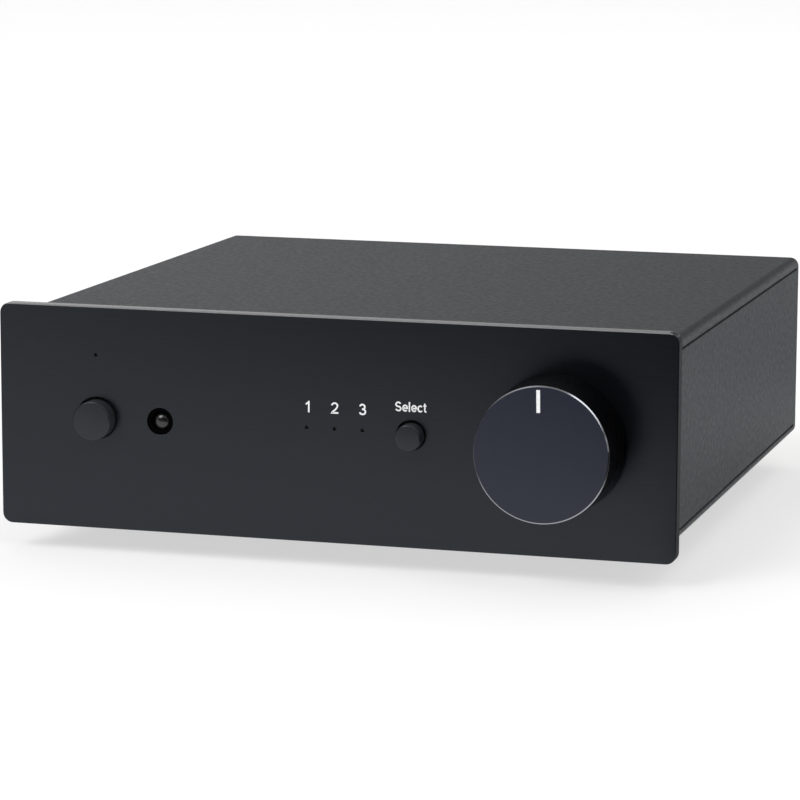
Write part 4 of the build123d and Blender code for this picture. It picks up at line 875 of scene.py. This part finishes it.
head_rings = [
    knurled(depth, r, groove)
    for depth, r, groove in (
        (EARTH_TIP_Y, 3.35, 0.0),
        (EARTH_TIP_Y - 0.08, 3.52, 0.0),
        (EARTH_TIP_Y - 0.45, 3.97, 0.24),
        (EARTH_TIP_Y - 0.55, KNURL_R, KNURL_DEPTH),
        (EARTH_SEAT_Y + 0.75, KNURL_R, KNURL_DEPTH),
        (EARTH_SEAT_Y + 0.6, 3.95, 0.20),
        (EARTH_SEAT_Y + 0.35, 3.66, 0.0),
        (EARTH_SEAT_Y, 3.62, 0.0),
    )
]
for first, second in zip(head_rings, head_rings[1:]):
    post.bridge(first, second)
shank = [(EARTH_SEAT_Y, EARTH_SHANK_R), (EARTH_END_Y, EARTH_SHANK_R), (EARTH_END_Y, 0)]
shank_ring = post.turned(earth_axis, eased(shank, [0, 0.3, 0]), count=48)
post.cap([head_rings[-1], shank_ring])
dish = [(EARTH_TIP_Y, 1.5), (EARTH_TIP_Y - 0.18, 1.3), (EARTH_TIP_Y - 0.18, 0)]
dish_ring = post.turned(earth_axis, eased(dish, [0, 0.08, 0]), count=48)
post.cap([head_rings[0], dish_ring])
post.make("earth_post", ["gold_brass"], "earth_screw", "earth_screw")

# ------------------------------------------------------------------ lettering on the panel

# Each layer of print starts a little further out, so that crossing strokes don't share a plane.
PRINT_ROOT, PRINT_RISE, PRINT_LAYER = 0.004, 0.016, 0.001


def arc(x, z, rx, rz, start, end, steps=18):
    """Points of an elliptic arc between two angles in degrees."""
    angles = [radians(start + (end - start) * i / steps) for i in range(steps + 1)]
    return [(x + rx * cos(a), z + rz * sin(a)) for a in angles]


def curve(p, q, s, steps=10):
    """Quadratic curve from p to s, pulled towards q."""
    return [
        tuple((1 - t) ** 2 * p[k] + 2 * t * (1 - t) * q[k] + t * t * s[k] for k in (0, 1))
        for t in [i / steps for i in range(steps + 1)]
    ]


# Strokes of each glyph on a cap height of 1, and its advance.
GLYPHS = {
    "1": ([[(0.31, 0.0), (0.31, 1.0)], curve((0.34, 0.97), (0.24, 0.78), (0.03, 0.70))], 0.44),
    "2": (
        [
            [
                *arc(0.33, 0.69, 0.25, 0.225, 172, -20),
                *curve((0.55, 0.60), (0.48, 0.42), (0.26, 0.25), 8)[1:],
                *curve((0.26, 0.25), (0.13, 0.16), (0.09, 0.075), 6)[1:],
                (0.66, 0.075),
            ]
        ],
        0.68,
    ),
    "3": (
        [
            [*arc(0.31, 0.715, 0.215, 0.205, 168, -62), (0.28, 0.53)],
            [(0.28, 0.53), *arc(0.32, 0.30, 0.255, 0.225, 68, -166)],
        ],
        0.68,
    ),
    "S": (
        [[*arc(0.33, 0.71, 0.235, 0.21, 18, 248), *arc(0.34, 0.29, 0.255, 0.21, 66, -165)]],
        0.74,
    ),
    "e": ([[*arc(0.29, 0.365, 0.225, 0.285, -38, -360), (0.10, 0.365)]], 0.63),
    "l": ([[(0.09, 0.0), (0.09, 1.0)]], 0.27),
    "c": ([arc(0.29, 0.365, 0.225, 0.285, 42, 318)], 0.58),
    "t": (
        [
            [(0.16, 0.92), (0.16, 0.22), *curve((0.16, 0.22), (0.16, 0.07), (0.33, 0.085), 6)[1:]],
            [(0.02, 0.665), (0.32, 0.665)],
        ],
        0.36,
    ),
}


def stroke(solid, line, width, front):
    """Flat ribbon along a line, with its thickness between the panel's face and `front`."""
    left_side, right_side = [], []
    for i, p in enumerate(line):
        a, b = line[max(i - 1, 0)], line[min(i + 1, len(line) - 1)]
        before = Vector((p[0] - a[0], p[1] - a[1]))
        after = Vector((b[0] - p[0], b[1] - p[1]))
        if before.length < 1e-9:
            before = after
        if after.length < 1e-9:
            after = before
        along = (before.normalized() + after.normalized()).normalized()
        reach = width / 2 / max(0.5, along.dot(after.normalized()))
        offset = Vector((-along.y, along.x)) * reach
        left_side.append((p[0] + offset.x, p[1] + offset.y))
        right_side.append((p[0] - offset.x, p[1] - offset.y))
    outline = left_side + right_side[::-1]
    top = solid.ring([(x, front, z) for x, z in outline])
    base = solid.ring([(x, FACE_Y + PRINT_ROOT, z) for x, z in outline])
    last = len(outline) - 1
    for i in range(len(line) - 1):
        for ends in (top, base):
            solid.face((ends[i], ends[i + 1], ends[last - 1 - i], ends[last - i]))
    solid.bridge(top, base)


def write(name, text, x, z, height, width, spacing=0.0):
    """One piece with the text centred on x, standing on z."""
    total = sum(GLYPHS[c][1] * height + spacing for c in text) - spacing
    pen = x - total / 2
    solid = Solid()
    for c in text:
        lines, advance = GLYPHS[c]
        for i, line in enumerate(lines):
            points = [(pen + u * height, z + v * height) for u, v in line]
            stroke(solid, points, width, FACE_Y - PRINT_RISE - PRINT_LAYER * i)
        pen += advance * height + spacing
    solid.make(name, [PRINT], "case", slot="panel_anodised")


DIGIT_Z, WORD_Z = LED_Z + 2.22, ROW_Z + 3.42
DIGIT_SHIFTS = (0.14, 0.02, 0.02)
for digit, x, shift in zip("123", LED_XS, DIGIT_SHIFTS):
    write(f"mark_{digit}", digit, x + shift, DIGIT_Z, height=1.70, width=0.245)
write("mark_select", "Select", INPUT_X, WORD_Z, height=1.45, width=0.22, spacing=0.02)

# ------------------------------------------------------------------ camera

# Solved from the photo's edges: degrees, metres and mm of lens on a 36 mm sensor.
AZIMUTH, ELEVATION, ROLL = radians(16.460), radians(9.627), radians(-0.194)
CAMERA_PLACE = (0.154764, -0.538291, 0.111772)
LENS = 161.07


def camera_turn():
    """Rotation of a camera that looks along the azimuth and elevation, rolled about its view."""
    x, y, z = -sin(AZIMUTH) * cos(ELEVATION), cos(AZIMUTH) * cos(ELEVATION), -sin(ELEVATION)
    forward = Vector((x, y, z))
    right = forward.cross(Vector((0, 0, 1))).normalized()
    up = right.cross(forward)
    rolled_up = up * cos(ROLL) + right * sin(ROLL)
    rolled_right = right * cos(ROLL) - up * sin(ROLL)
    return Matrix((rolled_right, rolled_up, -forward)).transposed().to_4x4()


camera_data = bpy.data.cameras.new("camera")
camera_data.sensor_width = 36.0
camera_data.lens = LENS
camera_data.clip_start = 0.01
camera_data.clip_end = 50.0
camera = add_object("camera", camera_data)
camera.matrix_world = Matrix.Translation(CAMERA_PLACE) @ camera_turn()
bpy.context.scene.camera = camera

# ------------------------------------------------------------------ floor, cloths and cards

SHEET_Z = 0.002  # height of the cloths and cards above the floor
FLOOR_REACH = 9
GLOW_SHARE, GLOW_STRENGTH = 0.55, 1.09


def stage_sheet(name, corners, material):
    mesh = bpy.data.meshes.new(name)
    mesh.from_pydata(corners, [], [tuple(range(len(corners)))])
    mesh.materials.append(material)
    sheet = add_object(name, mesh)
    return sheet


def low_sheet(name, outline, material):
    """Sheet just above the floor."""
    return stage_sheet(name, [(x, y, SHEET_Z) for x, y in outline], material)


def only_reflected(sheet):
    sheet.visible_camera = sheet.visible_diffuse = sheet.visible_shadow = False


def matt(name, dark, light, size):
    """Dull material for the stage, with faint mottling of `size` mm."""
    s = Shade(name, rough=0.9, level=0.1)
    s.tint(s.noise(size), dark, light)
    return s


def lit_paper():
    """Paper that is lit, and that also shows as white by itself to the eye and in reflections."""
    paper = matt("floor_paper", (253, 253, 253), (255, 255, 255), 2.0)
    tree = paper.tree
    rays = tree.nodes.new("ShaderNodeLightPath")
    either = rays.outputs["Is Camera Ray"]
    for kind in ("Is Glossy Ray", "Is Transmission Ray"):
        both = tree.nodes.new("ShaderNodeMath")
        both.operation = "MAXIMUM"
        tree.links.new(either, both.inputs[0])
        tree.links.new(rays.outputs[kind], both.inputs[1])
        either = both.outputs["Value"]
    share = tree.nodes.new("ShaderNodeMath")
    share.operation = "MULTIPLY"
    share.inputs[1].default_value = GLOW_SHARE
    tree.links.new(either, share.inputs[0])
    glow = tree.nodes.new("ShaderNodeEmission")
    glow.inputs["Strength"].default_value = GLOW_STRENGTH
    blend = tree.nodes.new("ShaderNodeMixShader")
    tree.links.new(share.outputs["Value"], blend.inputs["Fac"])
    tree.links.new(paper.shader.outputs["BSDF"], blend.inputs[1])
    tree.links.new(glow.outputs["Emission"], blend.inputs[2])
    tree.links.new(blend.outputs["Shader"], paper.out.inputs["Surface"])
    return paper.mat


floor_corners = [(x * FLOOR_REACH, y * FLOOR_REACH, 0) for x, y in SQUARE_CORNERS]
stage_sheet("floor", floor_corners, lit_paper())

# The unlit side of the studio: in front, where the panel mirrors the cloth's near edge, on the
# left, and high behind the photographer.
cloth = matt("dark_cloth", (10, 10, 10), (14, 14, 14), 3.0).mat
in_front = [
    (0.9, -0.05),
    (0.048, -0.062),
    (0.046, -0.12),
    (0.006, -0.19),
    (-0.070, -0.24),
    (-0.148, -0.30),
    (-0.208, -0.38),
    (-0.5, -1.2),
    (0.9, -1.2),
]
on_left = [(-0.9, -0.16), (-0.11, -0.10), (-0.11, 0.10), (-0.9, 0.3)]
behind_camera = [(-1.2, -1.2, 0.0), (1.2, -1.2, 0.0), (1.2, -1.2, 0.7), (-1.2, -1.2, 0.7)]
only_reflected(low_sheet("cloth_low", in_front, cloth))
only_reflected(low_sheet("cloth_left", on_left, cloth))
only_reflected(stage_sheet("cloth_high", behind_camera, cloth))

# Grey cards on the floor beside the right wall, which mirrors them: the far one is darker.
CARD_XS = (0.054, 0.30)
for name, near, far, grey in (("card_near", -0.045, 0.11, 226), ("card_far", 0.11, 0.42, 186)):
    dark, light = (grey - 9, grey - 3, grey - 1), (grey - 3, grey + 3, grey + 5)
    left, right = CARD_XS
    outline = [(left, near), (right, near), (right, far), (left, far)]
    only_reflected(low_sheet(name, outline, matt(name, dark, light, 3.0).mat))

# ------------------------------------------------------------------ light


def aim(light, way):
    light.rotation_euler = Vector(way).to_track_quat("-Z", "Y").to_euler()


def soft_light(name, place, target, size, power):
    data = bpy.data.lights.new(name, "AREA")
    data.shape = "RECTANGLE"
    data.size, data.size_y = size
    data.energy = power
    light = add_object(name, data)
    light.location = place
    aim(light, Vector(target) - Vector(place))


soft_light("back_light", (-0.15, 0.60, 1.25), (0, 0.1, 0), (1.4, 1.0), power=4.0)
soft_light("right_light", (0.80, -0.40, 0.80), (0, 0, 0.02), (0.3, 1.0), power=2.0)
sun_data = bpy.data.lights.new("front_light", "SUN")
sun_data.energy, sun_data.angle = 1.35, radians(35)
aim(add_object("front_light", sun_data), (0.41, 0.61, -0.68))

# The world is white to the camera. Reflections and light see a studio. Its brightness by height
# has a bright band just above the horizon, a dark wall over it and a soft ceiling. That is
# multiplied by a brightness from the left (0) to the right (1), dark at the far left and with a
# narrow bright strip right of the middle.
BY_HEIGHT = (
    (0.0, 0.9),
    (0.11, 0.6),
    (0.145, 1.22),
    (0.19, 1.22),
    (0.25, 0.28),
    (0.55, 0.4),
    (0.85, 0.75),
)
ACROSS = (
    (0.02, 0.15),
    (0.10, 1.0),
    (0.29, 1.1),
    (0.44, 0.5),
    (0.61, 0.5),
    (0.66, 2.2),
    (0.71, 0.5),
    (0.85, 0.5),
)


def grey_ramp(tree, fac, levels):
    return color_ramp(tree, fac, [(place, (level, level, level, 1)) for place, level in levels])


def studio_world():
    world = bpy.data.worlds.new("studio")
    world.use_nodes = True
    sky = world.node_tree
    studio = sky.nodes["Background"]
    parts = sky.nodes.new("ShaderNodeSeparateXYZ")
    way = sky.nodes.new("ShaderNodeTexCoord").outputs["Generated"]
    sky.links.new(way, parts.inputs["Vector"])
    side = sky.nodes.new("ShaderNodeMapRange")
    side.inputs["From Min"].default_value = -1.0
    sky.links.new(parts.outputs["X"], side.inputs["Value"])
    by_height = grey_ramp(sky, parts.outputs["Z"], BY_HEIGHT)
    across = grey_ramp(sky, side.outputs["Result"], ACROSS)
    sky.links.new(by_height, studio.inputs["Color"])
    sky.links.new(across, studio.inputs["Strength"])
    white = sky.nodes.new("ShaderNodeBackground")
    white.inputs["Color"].default_value = (1, 1, 1, 1)
    seen = sky.nodes.new("ShaderNodeMixShader")
    rays = sky.nodes.new("ShaderNodeLightPath")
    sky.links.new(rays.outputs["Is Camera Ray"], seen.inputs["Fac"])
    sky.links.new(studio.outputs["Background"], seen.inputs[1])
    sky.links.new(white.outputs["Background"], seen.inputs[2])
    sky.links.new(seen.outputs["Shader"], sky.nodes["World Output"].inputs["Surface"])
    return world


bpy.context.scene.world = studio_world()
bpy.context.scene.view_settings.view_transform = "Standard"
